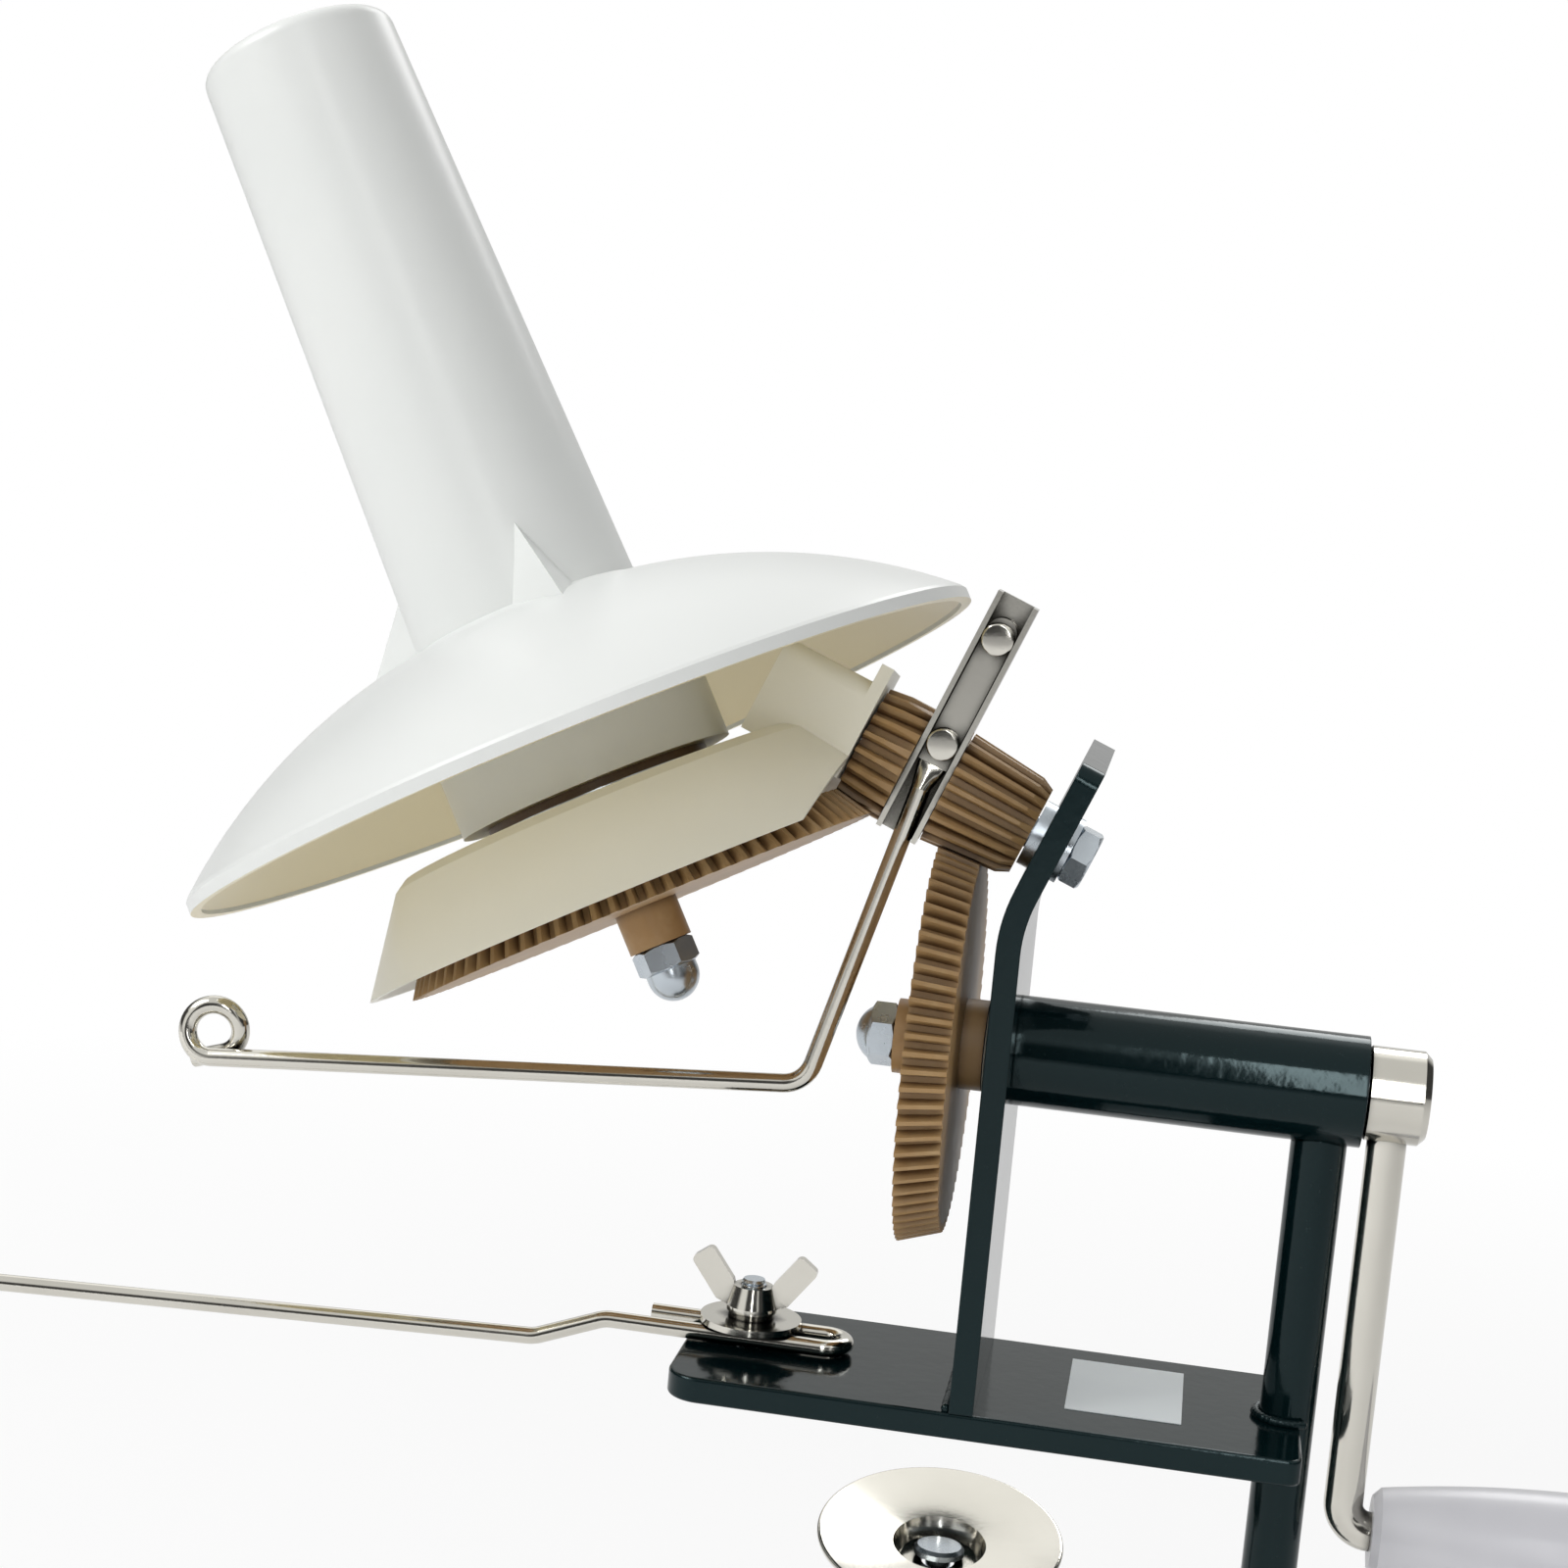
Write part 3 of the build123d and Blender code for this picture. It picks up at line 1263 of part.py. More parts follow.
ring_bottom = washer_bottom + guide_washer_thickness + running_fit
with BuildPart() as lock_ring:
    with BuildSketch(Plane.XY.offset(ring_bottom)):
        with Locations((stud_x, stud_y)):
            Circle(lock_ring_radius)
            Circle(stud_radius + running_fit, mode=Mode.SUBTRACT)
    extrude(amount=lock_ring_thickness)
lock_ring.part.label = "lock_ring"
export_step(lock_ring.part, "parts/lock_ring.step")

nut_bottom = ring_bottom + lock_ring_thickness + running_fit
wing_root = wing_root_ratio * wing_hub_radius
with BuildPart() as wing_nut:
    with BuildSketch(Plane(origin=(stud_x, stud_y, nut_bottom), x_dir=(1, 0, 0), z_dir=(0, -1, 0))):
        with BuildLine():
            Polyline(
                (0, 0),
                (wing_hub_radius, 0),
                (wing_hub_radius, wing_hub_lip),
                (wing_hub_taper * wing_hub_radius, wing_hub_height),
                (0, wing_hub_height),
                close=True,
            )
        make_face()
    revolve(axis=Axis((stud_x, stud_y, 0), (0, 0, 1)))
    with BuildSketch(Plane(origin=(stud_x, stud_y, nut_bottom), x_dir=(1, 0, 0), z_dir=(0, -1, 0))):
        with BuildLine():
            FilletPolyline(
                (wing_root, wing_seat),
                (wing_hub_radius + wing_low[0], wing_low[1]),
                (wing_span, wing_rise - wing_tip_drop),
                (wing_span - wing_tip_width, wing_rise),
                (wing_hub_radius + wing_valley[0], wing_hub_height + wing_valley[1]),
                (wing_root, wing_hub_height - wing_round),
                radius=wing_round,
                close=True,
            )
        make_face()
        mirror(about=Plane.YZ)
    extrude(amount=wing_thickness / 2, both=True)
    with BuildSketch(Plane.XY.offset(nut_bottom)):
        with Locations((stud_x, stud_y)):
            Circle(stud_radius + running_fit)
    extrude(amount=wing_rise, mode=Mode.SUBTRACT)
wing_nut.part.label = "wing_nut"
export_step(wing_nut.part, "parts/wing_nut.step")

# ---- clamp pad: dished disc with a cup, leaning on the screw's swivel end ----
cup_floor = -pad_dish - pad_cup_depth
swivel_reach = -cup_floor - pad_wall / 2
pad_normal = Vector(0, -sin(radians(pad_tilt)), cos(radians(pad_tilt)))
swivel_centre = Vector(0, 0, -pad_drop - swivel_reach * cos(radians(pad_tilt)))
pad_centre = swivel_centre + pad_normal * swivel_reach
pad_plane = Plane(origin=pad_centre, x_dir=(1, 0, 0), z_dir=Vector(1, 0, 0).cross(pad_normal))
with BuildPart() as clamp_pad:
    with BuildSketch(pad_plane):
        with BuildLine():
            Polyline(
                (pad_radius, 0),
                (pad_cup_radius, -pad_dish),
                (pad_cup_inner, cup_floor + pad_wall),
                (swivel_radius + swivel_slack, cup_floor + pad_wall),
                (swivel_radius + swivel_slack, cup_floor),
                (pad_cup_outer, cup_floor),
                (pad_cup_shoulder, -pad_dish - pad_wall),
                (pad_radius, -pad_wall),
                close=True,
            )
        make_face()
    revolve(axis=Axis(pad_centre, pad_normal))
    fillet(clamp_pad.edges().filter_by(GeomType.CIRCLE).sort_by(SortBy.RADIUS)[-2:], pad_edge)
clamp_pad.part.label = "clamp_pad"
export_step(clamp_pad.part, "parts/clamp_pad.step")

# ---- clamp screw: swivel head, neck, threaded body and the drum for the handle ----
head_under = swivel_centre.Z + pad_wall / 2 + swivel_head_radius * tan(radians(pad_tilt)) + face_gap
shoulder = swivel_centre.Z - pad_wall / 2 - clamp_screw_radius * tan(radians(pad_tilt)) - face_gap
drum_top = -handle_drop + handle_head_height / 2
drum_bottom = -handle_drop - handle_head_height / 2
screw_plane = Plane(origin=(0, 0, 0), x_dir=(1, 0, 0), z_dir=(0, -1, 0))
with BuildPart() as clamp_screw:
    with BuildSketch(screw_plane):
        with BuildLine():
            Polyline(
                (0, head_under + swivel_head_height),
                (swivel_head_radius - screw_edge, head_under + swivel_head_height),
                (swivel_head_radius, head_under + swivel_head_height - screw_edge),
                (swivel_head_radius, head_under),
                (swivel_radius, head_under),
                (swivel_radius, shoulder),
                (clamp_screw_radius - screw_edge, shoulder),
                (clamp_screw_radius, shoulder - screw_edge),
                (clamp_screw_radius, drum_top),
                (handle_head_radius - screw_edge, drum_top),
                (handle_head_radius, drum_top - screw_edge),
                (handle_head_radius, drum_bottom + screw_edge),
                (handle_head_radius - screw_edge, drum_bottom),
                (0, drum_bottom),
                close=True,
            )
        make_face()
    revolve(axis=Axis.Z)
    with BuildSketch(Plane.XZ):
        with Locations((0, -handle_drop)):
            Circle(handle_radius + running_fit)
    extrude(amount=2 * handle_head_radius, both=True, mode=Mode.SUBTRACT)
clamp_screw.part.label = "clamp_screw"
export_step(clamp_screw.part, "parts/clamp_screw.step")

# ---- sliding handle through the screw's drum, with a cap on each end ----
with BuildPart() as clamp_handle:
    with BuildSketch(Plane.XZ):
        with Locations((0, -handle_drop)):
            Circle(handle_radius)
    extrude(amount=handle_length / 2, both=True)
clamp_handle.part.label = "clamp_handle"
export_step(clamp_handle.part, "parts/clamp_handle.step")

cap_start = handle_length / 2 - cap_length + cap_floor
with BuildPart() as near_cap:
    with BuildSketch(Plane.XZ.offset(cap_start)):
        with Locations((0, -handle_drop)):
            Circle(cap_radius)
    extrude(amount=cap_length)
    fillet(near_cap.edges().group_by(Axis.Y)[0], cap_round)
    with BuildSketch(Plane.XZ.offset(cap_start)):
        with Locations((0, -handle_drop)):
            Circle(handle_radius + weld_gap)
    extrude(amount=cap_length - cap_floor + weld_gap, mode=Mode.SUBTRACT)
near_cap.part.label = "near_cap"
export_step(near_cap.part, "parts/near_cap.step")

with BuildPart() as far_cap:
    with BuildSketch(Plane.XZ.offset(-cap_start)):
        with Locations((0, -handle_drop)):
            Circle(cap_radius)
    extrude(amount=-cap_length)
    fillet(far_cap.edges().group_by(Axis.Y)[-1], cap_round)
    with BuildSketch(Plane.XZ.offset(-cap_start)):
        with Locations((0, -handle_drop)):
            Circle(handle_radius + weld_gap)
    extrude(amount=-(cap_length - cap_floor + weld_gap), mode=Mode.SUBTRACT)
far_cap.part.label = "far_cap"
export_step(far_cap.part, "parts/far_cap.step")

# ---- blank label on the plate ----
with BuildPart() as blank_label:
    with BuildSketch(Plane.XY.offset(plate_thickness)):
        with Locations((label_left + label_width / 2, label_centre_y)):
            Rectangle(label_width, label_depth)
    extrude(amount=label_thickness)
blank_label.part.label = "blank_label"
export_step(blank_label.part, "parts/blank_label.step")
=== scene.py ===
# Table-clamped yarn cone winder: finishes, turned hardware, threads, welds, camera and light.
import json
import math

import bmesh
import bpy
from mathutils import Matrix, Vector


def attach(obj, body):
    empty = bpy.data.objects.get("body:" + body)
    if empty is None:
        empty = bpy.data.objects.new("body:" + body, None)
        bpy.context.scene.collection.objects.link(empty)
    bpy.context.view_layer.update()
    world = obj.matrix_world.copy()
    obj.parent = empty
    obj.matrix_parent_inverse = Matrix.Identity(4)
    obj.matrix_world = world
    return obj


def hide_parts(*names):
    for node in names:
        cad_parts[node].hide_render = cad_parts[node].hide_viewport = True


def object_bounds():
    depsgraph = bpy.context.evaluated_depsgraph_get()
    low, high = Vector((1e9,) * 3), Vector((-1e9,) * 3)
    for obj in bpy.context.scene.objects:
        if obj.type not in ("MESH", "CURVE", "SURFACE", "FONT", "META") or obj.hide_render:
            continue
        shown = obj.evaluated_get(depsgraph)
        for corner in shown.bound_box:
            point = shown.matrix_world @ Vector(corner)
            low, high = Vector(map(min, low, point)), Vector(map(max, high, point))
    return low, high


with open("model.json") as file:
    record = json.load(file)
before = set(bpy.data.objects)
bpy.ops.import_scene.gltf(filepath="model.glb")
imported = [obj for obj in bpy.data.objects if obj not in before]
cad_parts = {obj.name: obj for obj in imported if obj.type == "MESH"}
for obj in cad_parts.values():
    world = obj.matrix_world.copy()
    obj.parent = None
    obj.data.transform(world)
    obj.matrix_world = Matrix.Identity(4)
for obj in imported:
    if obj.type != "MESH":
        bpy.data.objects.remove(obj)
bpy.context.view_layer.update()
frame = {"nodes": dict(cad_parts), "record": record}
nodes = frame["nodes"]
mm = 0.001
print("frame loaded:", len(nodes), "nodes")


# one socket of a node tree, so that maths on it reads as plain arithmetic
class Wire:
    def __init__(self, tree, socket):
        self.tree = tree
        self.socket = socket

    def maths(self, operation, *others):
        return self.tree.maths(operation, self, *others)

    def __add__(self, other):
        return self.maths("ADD", other)

    __radd__ = __add__

    def __sub__(self, other):
        return self.maths("SUBTRACT", other)

    def __rsub__(self, other):
        return self.tree.maths("SUBTRACT", other, self)

    def __mul__(self, other):
        return self.maths("MULTIPLY", other)

    __rmul__ = __mul__

    def __truediv__(self, other):
        return self.maths("DIVIDE", other)

    def __rtruediv__(self, other):
        return self.tree.maths("DIVIDE", other, self)

    def __pow__(self, other):
        return self.maths("POWER", other)

    def clamp(self, low=0.0, high=1.0):
        return self.maths("MAXIMUM", low).maths("MINIMUM", high)


# a node tree, for a material, the world or geometry
class Tree:
    def __init__(self, nodeTree):
        self.nodeTree = nodeTree
        self.nodes = nodeTree.nodes
        self.nodes.clear()

    def add(self, kind, settings=None, values=None, output=0):
        node = self.nodes.new(kind)
        for key, value in (settings or {}).items():
            setattr(node, key, value)
        for key, value in (values or {}).items():
            if isinstance(value, Wire):
                self.nodeTree.links.new(value.socket, node.inputs[key])
            else:
                node.inputs[key].default_value = value
        if len(node.outputs) == 0:
            return node
        return Wire(self, node.outputs[output])

    def maths(self, operation, *values):
        return self.add("ShaderNodeMath", {"operation": operation}, dict(enumerate(values)))

    def split(self, vector):
        parts = self.add("ShaderNodeSeparateXYZ", values={0: vector}).socket.node
        return [Wire(self, parts.outputs[index]) for index in range(3)]

    def noise(self, place, scale, detail=2.0, roughness=0.5):
        values = {"Vector": place, "Scale": scale, "Detail": detail, "Roughness": roughness}
        return self.add("ShaderNodeTexNoise", {"noise_dimensions": "3D"}, values)

    def mix(self, factor, first, second):
        values = {0: factor, 6: first, 7: second}
        return self.add("ShaderNodeMix", {"data_type": "RGBA"}, values, output=2)

    # how open the space within reach is, from 0 in a corner to 1 on a plain face
    def openness(self, reach):
        return self.add("ShaderNodeAmbientOcclusion", {"samples": 6}, {"Distance": reach}, output=1)

    def bump(self, height, strength, depth, edge=0.0):
        values = {"Height": height, "Strength": strength, "Distance": depth}
        if edge:
            values["Normal"] = self.add("ShaderNodeBevel", {"samples": 5}, {"Radius": edge})
        return self.add("ShaderNodeBump", values=values)


def newMaterial(name):
    material = bpy.data.materials.new(name)
    material.use_nodes = True
    tree = Tree(material.node_tree)
    place = tree.add("ShaderNodeTexCoord", output=3)
    return material, tree, place


def finishShader(tree, values):
    shader = tree.add("ShaderNodeBsdfPrincipled", values=values)
    tree.add("ShaderNodeOutputMaterial", values={0: shader})


def solid(colour):
    return (*colour, 1)


# directions and apexes of the sloping axle and of the head's spindle, as the CAD has them
slope = math.radians(22)
lean = math.radians(8)
headTilt = math.radians(39.5)
axleDir = Vector((math.cos(slope), 0, -math.sin(slope)))
axleUp = Vector((math.sin(slope), 0, math.cos(slope)))
depthDir = Vector((0, 1, 0))
headUp = axleUp * math.cos(lean) + depthDir * math.sin(lean)
spindleDir = headUp * math.sin(headTilt) - axleDir * math.cos(headTilt)
meshDir = axleDir * math.sin(headTilt) + headUp * math.cos(headTilt)
driveApex = Vector((130.3, 0, 84)) * mm
headApex = driveApex - axleDir * 275.5 * mm

greenPaint = {
    "dark": (0.0008, 0.0050, 0.0060), "light": (0.0020, 0.0095, 0.0110), "fleck": (0.03, 0.05, 0.05),
    "tint": (0.72, 0.96, 1.0), "shine": 0.30, "gloss": 0.07, "glossSpread": 0.08,
    "patchScale": 18, "fleckScale": 1500, "fleckFrom": 0.74, "fleckShare": 0.25,
    "peelScale": 330, "waveScale": 70, "waveShare": 1.6, "bump": 0.12, "depth": 0.0003, "edge": 0.0006,
}


# glossy paint that is nearly black, with orange peel, a few flecks and softened edges
def makeGreenPaint():
    look = greenPaint
    material, tree, place = newMaterial("greenPaint")
    patches = tree.noise(place, look["patchScale"], 3)
    colour = tree.mix(patches, solid(look["dark"]), solid(look["light"]))
    flecks = tree.noise(place, look["fleckScale"], 1).maths("GREATER_THAN", look["fleckFrom"])
    colour = tree.mix(flecks * look["fleckShare"], colour, solid(look["fleck"]))
    waves = tree.noise(place, look["waveScale"], 1) * look["waveShare"]
    peel = tree.noise(place, look["peelScale"], 2) + waves
    finishShader(tree, {
        "Base Color": colour,
        "Roughness": look["gloss"] + patches * look["glossSpread"],
        "Specular IOR Level": look["shine"],
        "Specular Tint": solid(look["tint"]),
        "Normal": tree.bump(peel, look["bump"], look["depth"], look["edge"]),
    })
    return material


# corner is the colour of the painted shade in the plating's corners
nickelPlate = {
    "colour": (0.74, 0.72, 0.66), "shade": (0.60, 0.58, 0.52), "corner": (0.02, 0.018, 0.014),
    "reach": 0.0035, "cornerShadeFrom": 0.82, "cornerShadeEdge": 2.6,
    "gloss": 0.07, "glossSpread": 0.07, "scuffGloss": 0.04,
    "patchScale": 40, "scuffScale": 900, "bump": 0.05, "depth": 0.0002,
}


# bright plating, with painted shade that turns it black in its corners
def makeNickelPlate():
    look = nickelPlate
    material, tree, place = newMaterial("nickelPlate")
    patches = tree.noise(place, look["patchScale"], 4)
    colour = tree.mix(patches, solid(look["colour"]), solid(look["shade"]))
    # painted shade: the plating is darkened towards the corner colour where the space around it closes in
    corners = ((look["cornerShadeFrom"] - tree.openness(look["reach"])) * look["cornerShadeEdge"]).clamp()
    colour = tree.mix(corners, colour, solid(look["corner"]))
    scuffs = tree.noise(place, look["scuffScale"], 3, 0.7)
    finishShader(tree, {
        "Base Color": colour,
        "Metallic": 1.0,
        "Roughness": look["gloss"] + patches * look["glossSpread"] + scuffs * look["scuffGloss"],
        "Normal": tree.bump(scuffs, look["bump"], look["depth"]),
    })
    return material


zincPlate = {
    "colour": (0.60, 0.65, 0.69), "shade": (0.46, 0.51, 0.56), "gloss": 0.20, "glossSpread": 0.14,
    "cloudScale": 120, "grainScale": 1400, "bump": 0.07, "depth": 0.0002,
}


def makeZincPlate():
    look = zincPlate
    material, tree, place = newMaterial("zincPlate")
    clouds = tree.noise(place, look["cloudScale"], 4, 0.6)
    finishShader(tree, {
        "Base Color": tree.mix(clouds, solid(look["colour"]), solid(look["shade"])),
        "Metallic": 1.0,
        "Roughness": look["gloss"] + clouds * look["glossSpread"],
        "Normal": tree.bump(tree.noise(place, look["grainScale"], 2), look["bump"], look["depth"]),
    })
    return material


brownNylon = {
    "dark": (0.30, 0.175, 0.068), "light": (0.47, 0.295, 0.13), "pale": (0.58, 0.42, 0.23),
    "grooveShade": (0.085, 0.040, 0.013), "reach": 0.0035, "grooveShadeFrom": 0.80, "grooveShadeEdge": 2.2,
    "gloss": 0.34, "glossSpread": 0.16, "shine": 0.45, "cloudScale": 26, "flowScale": 140,
    "chalkEdge": 2.4, "chalkFrom": 1.15, "chalkShare": 0.5,
    "grainScale": 700, "flowShare": 1.2, "bump": 0.12, "depth": 0.0003,
}


# moulded gears: pale flow marks on the faces, and painted shade darkening the grooves between the teeth
def makeBrownNylon():
    look = brownNylon
    material, tree, place = newMaterial("brownNylon")
    clouds = tree.noise(place, look["cloudScale"], 4, 0.55)
    colour = tree.mix(clouds, solid(look["dark"]), solid(look["light"]))
    flow = tree.noise(place, look["flowScale"], 3, 0.6)
    chalk = (flow * look["chalkEdge"] - look["chalkFrom"]).clamp() * look["chalkShare"]
    colour = tree.mix(chalk, colour, solid(look["pale"]))
    # painted shade: the grooves between the teeth are darkened where the space around them closes in
    grooveShadeMask = ((look["grooveShadeFrom"] - tree.openness(look["reach"])) * look["grooveShadeEdge"]).clamp()
    colour = tree.mix(grooveShadeMask, colour, solid(look["grooveShade"]))
    grain = tree.noise(place, look["grainScale"], 2) + flow * look["flowShare"]
    finishShader(tree, {
        "Base Color": colour,
        "Roughness": look["gloss"] + flow * look["glossSpread"],
        "Specular IOR Level": look["shine"],
        "Normal": tree.bump(grain, look["bump"], look["depth"]),
    })
    return material


whitePlastic = {
    "white": (0.76, 0.77, 0.75), "cool": (0.68, 0.70, 0.685), "paintedBounce": (0.80, 0.70, 0.44),
    "gloss": 0.26, "glossSpread": 0.10, "shine": 0.4, "cloudScale": 14, "rippleScale": 60,
    "grainScale": 500, "grainShare": 0.15, "bump": 0.05, "depth": 0.0002,
    "bounceBelow": 0.015, "bounceEdge": 200, "bounceFacing": 2.2, "bounceShare": 0.9,
}


# the side of the flange that faces the gears gets painted warm bounce light, creamier than the outside
def makeWhitePlastic():
    look = whitePlastic
    material, tree, place = newMaterial("whitePlastic")
    clouds = tree.noise(place, look["cloudScale"], 3, 0.5)
    colour = tree.mix(clouds, solid(look["white"]), solid(look["cool"]))
    facing = tree.add("ShaderNodeNewGeometry", output=3)
    dot = {"operation": "DOT_PRODUCT"}
    back = tree.add("ShaderNodeVectorMath", dot, {0: facing, 1: -spindleDir}, output=1)
    along = tree.add("ShaderNodeVectorMath", dot, {0: place, 1: spindleDir}, output=1)
    # painted warm bounce light: the downward-facing side of the flange's lower half is turned creamy
    lowHalf = ((spindleDir.dot(headApex) - look["bounceBelow"] - along) * look["bounceEdge"]).clamp()
    paintedBounce = (back * look["bounceFacing"]).clamp() * lowHalf
    colour = tree.mix(paintedBounce * look["bounceShare"], colour, solid(look["paintedBounce"]))
    ripple = tree.noise(place, look["rippleScale"], 2)
    grain = ripple + tree.noise(place, look["grainScale"], 2) * look["grainShare"]
    finishShader(tree, {
        "Base Color": colour,
        "Roughness": look["gloss"] + ripple * look["glossSpread"],
        "Specular IOR Level": look["shine"],
        "Normal": tree.bump(grain, look["bump"], look["depth"]),
    })
    return material


ivoryPlastic = {
    "light": (0.90, 0.89, 0.80), "warm": (0.84, 0.81, 0.68), "gloss": 0.27, "glossSpread": 0.12,
    "cloudScale": 20, "rippleScale": 80, "grainScale": 600, "grainShare": 0.2,
    "bump": 0.06, "depth": 0.0002,
}


def makeIvoryPlastic():
    look = ivoryPlastic
    material, tree, place = newMaterial("ivoryPlastic")
    clouds = tree.noise(place, look["cloudScale"], 3, 0.5)
    ripple = tree.noise(place, look["rippleScale"], 2)
    grain = ripple + tree.noise(place, look["grainScale"], 2) * look["grainShare"]
    finishShader(tree, {
        "Base Color": tree.mix(clouds, solid(look["light"]), solid(look["warm"])),
        "Roughness": look["gloss"] + ripple * look["glossSpread"],
        "Normal": tree.bump(grain, look["bump"], look["depth"]),
    })
    return material


gripPlastic = {
    "light": (0.66, 0.66, 0.68), "shade": (0.50, 0.50, 0.54), "gloss": 0.25, "glossSpread": 0.10,
    "coat": 0.15, "coatGloss": 0.15, "ringScale": 900, "ringShare": 0.12, "cloudScale": 24,
    "grainScale": 400, "bump": 0.10, "depth": 0.0003,
}


# faint rings square to the handle, as a moulded grip shows
def makeGripPlastic():
    look = gripPlastic
    material, tree, place = newMaterial("gripPlastic")
    x, y, z = tree.split(place)
    rings = (x * look["ringScale"]).maths("SINE") * look["ringShare"]
    clouds = tree.noise(place, look["cloudScale"], 3)
    finishShader(tree, {
        "Base Color": tree.mix(clouds, solid(look["light"]), solid(look["shade"])),
        "Roughness": look["gloss"] + clouds * look["glossSpread"],
        "Coat Weight": look["coat"],
        "Coat Roughness": look["coatGloss"],
        "Normal": tree.bump(rings + tree.noise(place, look["grainScale"], 2), look["bump"], look["depth"]),
    })
    return material


capRubber = {
    "colour": (0.018, 0.018, 0.019), "worn": (0.05, 0.05, 0.052), "gloss": 0.5, "glossSpread": 0.2,
    "dustScale": 160, "grainScale": 1200, "bump": 0.2, "depth": 0.0002,
}


def makeCapRubber():
    look = capRubber
    material, tree, place = newMaterial("capRubber")
    dust = tree.noise(place, look["dustScale"], 4, 0.6)
    finishShader(tree, {
        "Base Color": tree.mix(dust, solid(look["colour"]), solid(look["worn"])),
        "Roughness": look["gloss"] + dust * look["glossSpread"],
        "Normal": tree.bump(tree.noise(place, look["grainScale"], 2), look["bump"], look["depth"]),
    })
    return material


labelPaper = {
    "white": (0.74, 0.79, 0.79), "shade": (0.66, 0.71, 0.73), "gloss": 0.28, "glossSpread": 0.1,
    "fibreScale": 900, "fibreShare": 0.4, "waveScale": 60, "bump": 0.12, "depth": 0.0003,
}


def makeLabelPaper():
    look = labelPaper
    material, tree, place = newMaterial("labelPaper")
    fibre = tree.noise(place, look["fibreScale"], 4, 0.7)
    waves = tree.noise(place, look["waveScale"], 2)
    finishShader(tree, {
        "Base Color": tree.mix(waves, solid(look["white"]), solid(look["shade"])),
        "Roughness": look["gloss"] + fibre * look["glossSpread"],
        "Normal": tree.bump(fibre * look["fibreShare"] + waves, look["bump"], look["depth"]),
    })
    return material


bushNylon = {
    "light": (0.60, 0.58, 0.50), "shade": (0.52, 0.50, 0.42), "gloss": 0.4, "glossSpread": 0.15,
    "cloudScale": 90, "grainScale": 900, "bump": 0.1, "depth": 0.0002,
}


def makeBushNylon():
    look = bushNylon
    material, tree, place = newMaterial("bushNylon")
    clouds = tree.noise(place, look["cloudScale"], 3)
    finishShader(tree, {
        "Base Color": tree.mix(clouds, solid(look["light"]), solid(look["shade"])),
        "Roughness": look["gloss"] + clouds * look["glossSpread"],
        "Normal": tree.bump(tree.noise(place, look["grainScale"], 2), look["bump"], look["depth"]),
    })
    return material


finishes = {
    "dark_paint": makeGreenPaint(),
    "nickel": makeNickelPlate(),
    "zinc": makeZincPlate(),
    "brown_nylon": makeBrownNylon(),
    "bush_nylon": makeBushNylon(),
    "white_plastic": makeWhitePlastic(),
    "ivory_plastic": makeIvoryPlastic(),
    "grip_plastic": makeGripPlastic(),
    "cap_plastic": makeCapRubber(),
    "label_paper": makeLabelPaper(),
}
slotOf = {part["node"]: part["material_slot"] for part in frame["record"]["subparts"]}
bodies = frame["record"]["behaviour"]["bodies"]
bodyOf = {name: body for body, names in bodies.items() for name in names}
for name, node in nodes.items():
    node.data.materials.clear()
    node.data.materials.append(finishes[slotOf[name]])
print("finishes on every node:", len(finishes))


# spins a profile of (radius, height) rows in millimetres about the piece's own Z axis
def turned(name, profile, around):
    shape = bmesh.new()
    rings = []
    for radius, height in profile:
        if radius < 1e-6:
            rings.append([shape.verts.new((0, 0, height * mm))])
            continue
        ring = []
        for step in range(around):
            angle = 2 * math.pi * step / around
            spot = (radius * mm * math.cos(angle), radius * mm * math.sin(angle), height * mm)
            ring.append(shape.verts.new(spot))
        rings.append(ring)
    for low, high in zip(rings, rings[1:]):
        for step in range(around):
            after = (step + 1) % around
            if len(low) == 1:
                corners = [low[0], high[after], high[step]]
            elif len(high) == 1:
                corners = [low[step], low[after], high[0]]
            else:
                corners = [low[step], low[after], high[after], high[step]]
            shape.faces.new(corners)
    bmesh.ops.recalc_face_normals(shape, faces=shape.faces)
    mesh = bpy.data.meshes.new(name)
    shape.to_mesh(mesh)
    shape.free()
    piece = bpy.data.objects.new(name, mesh)
    bpy.context.scene.collection.objects.link(piece)
    return piece


def geometryTree(name, inputs):
    group = bpy.data.node_groups.new(name, "GeometryNodeTree")
    group.interface.new_socket("Geometry", in_out="INPUT", socket_type="NodeSocketGeometry")
    for label, default in inputs.items():
        kind = "NodeSocketMaterial" if default is None else "NodeSocketFloat"
        socket = group.interface.new_socket(label, in_out="INPUT", socket_type=kind)
        if default is not None:
            socket.default_value = default
    group.interface.new_socket("Geometry", in_out="OUTPUT", socket_type="NodeSocketGeometry")
    tree = Tree(group)
    source = tree.add("NodeGroupInput").socket.node
    return tree, {socket.name: Wire(tree, socket) for socket in source.outputs if socket.name}


def endTree(tree, geometry, material):
    real = tree.add("GeometryNodeRealizeInstances", values={0: geometry})
    coloured = tree.add("GeometryNodeSetMaterial", values={"Geometry": real, "Material": material})
    tree.add("NodeGroupOutput", values={0: coloured})
    return tree.nodeTree


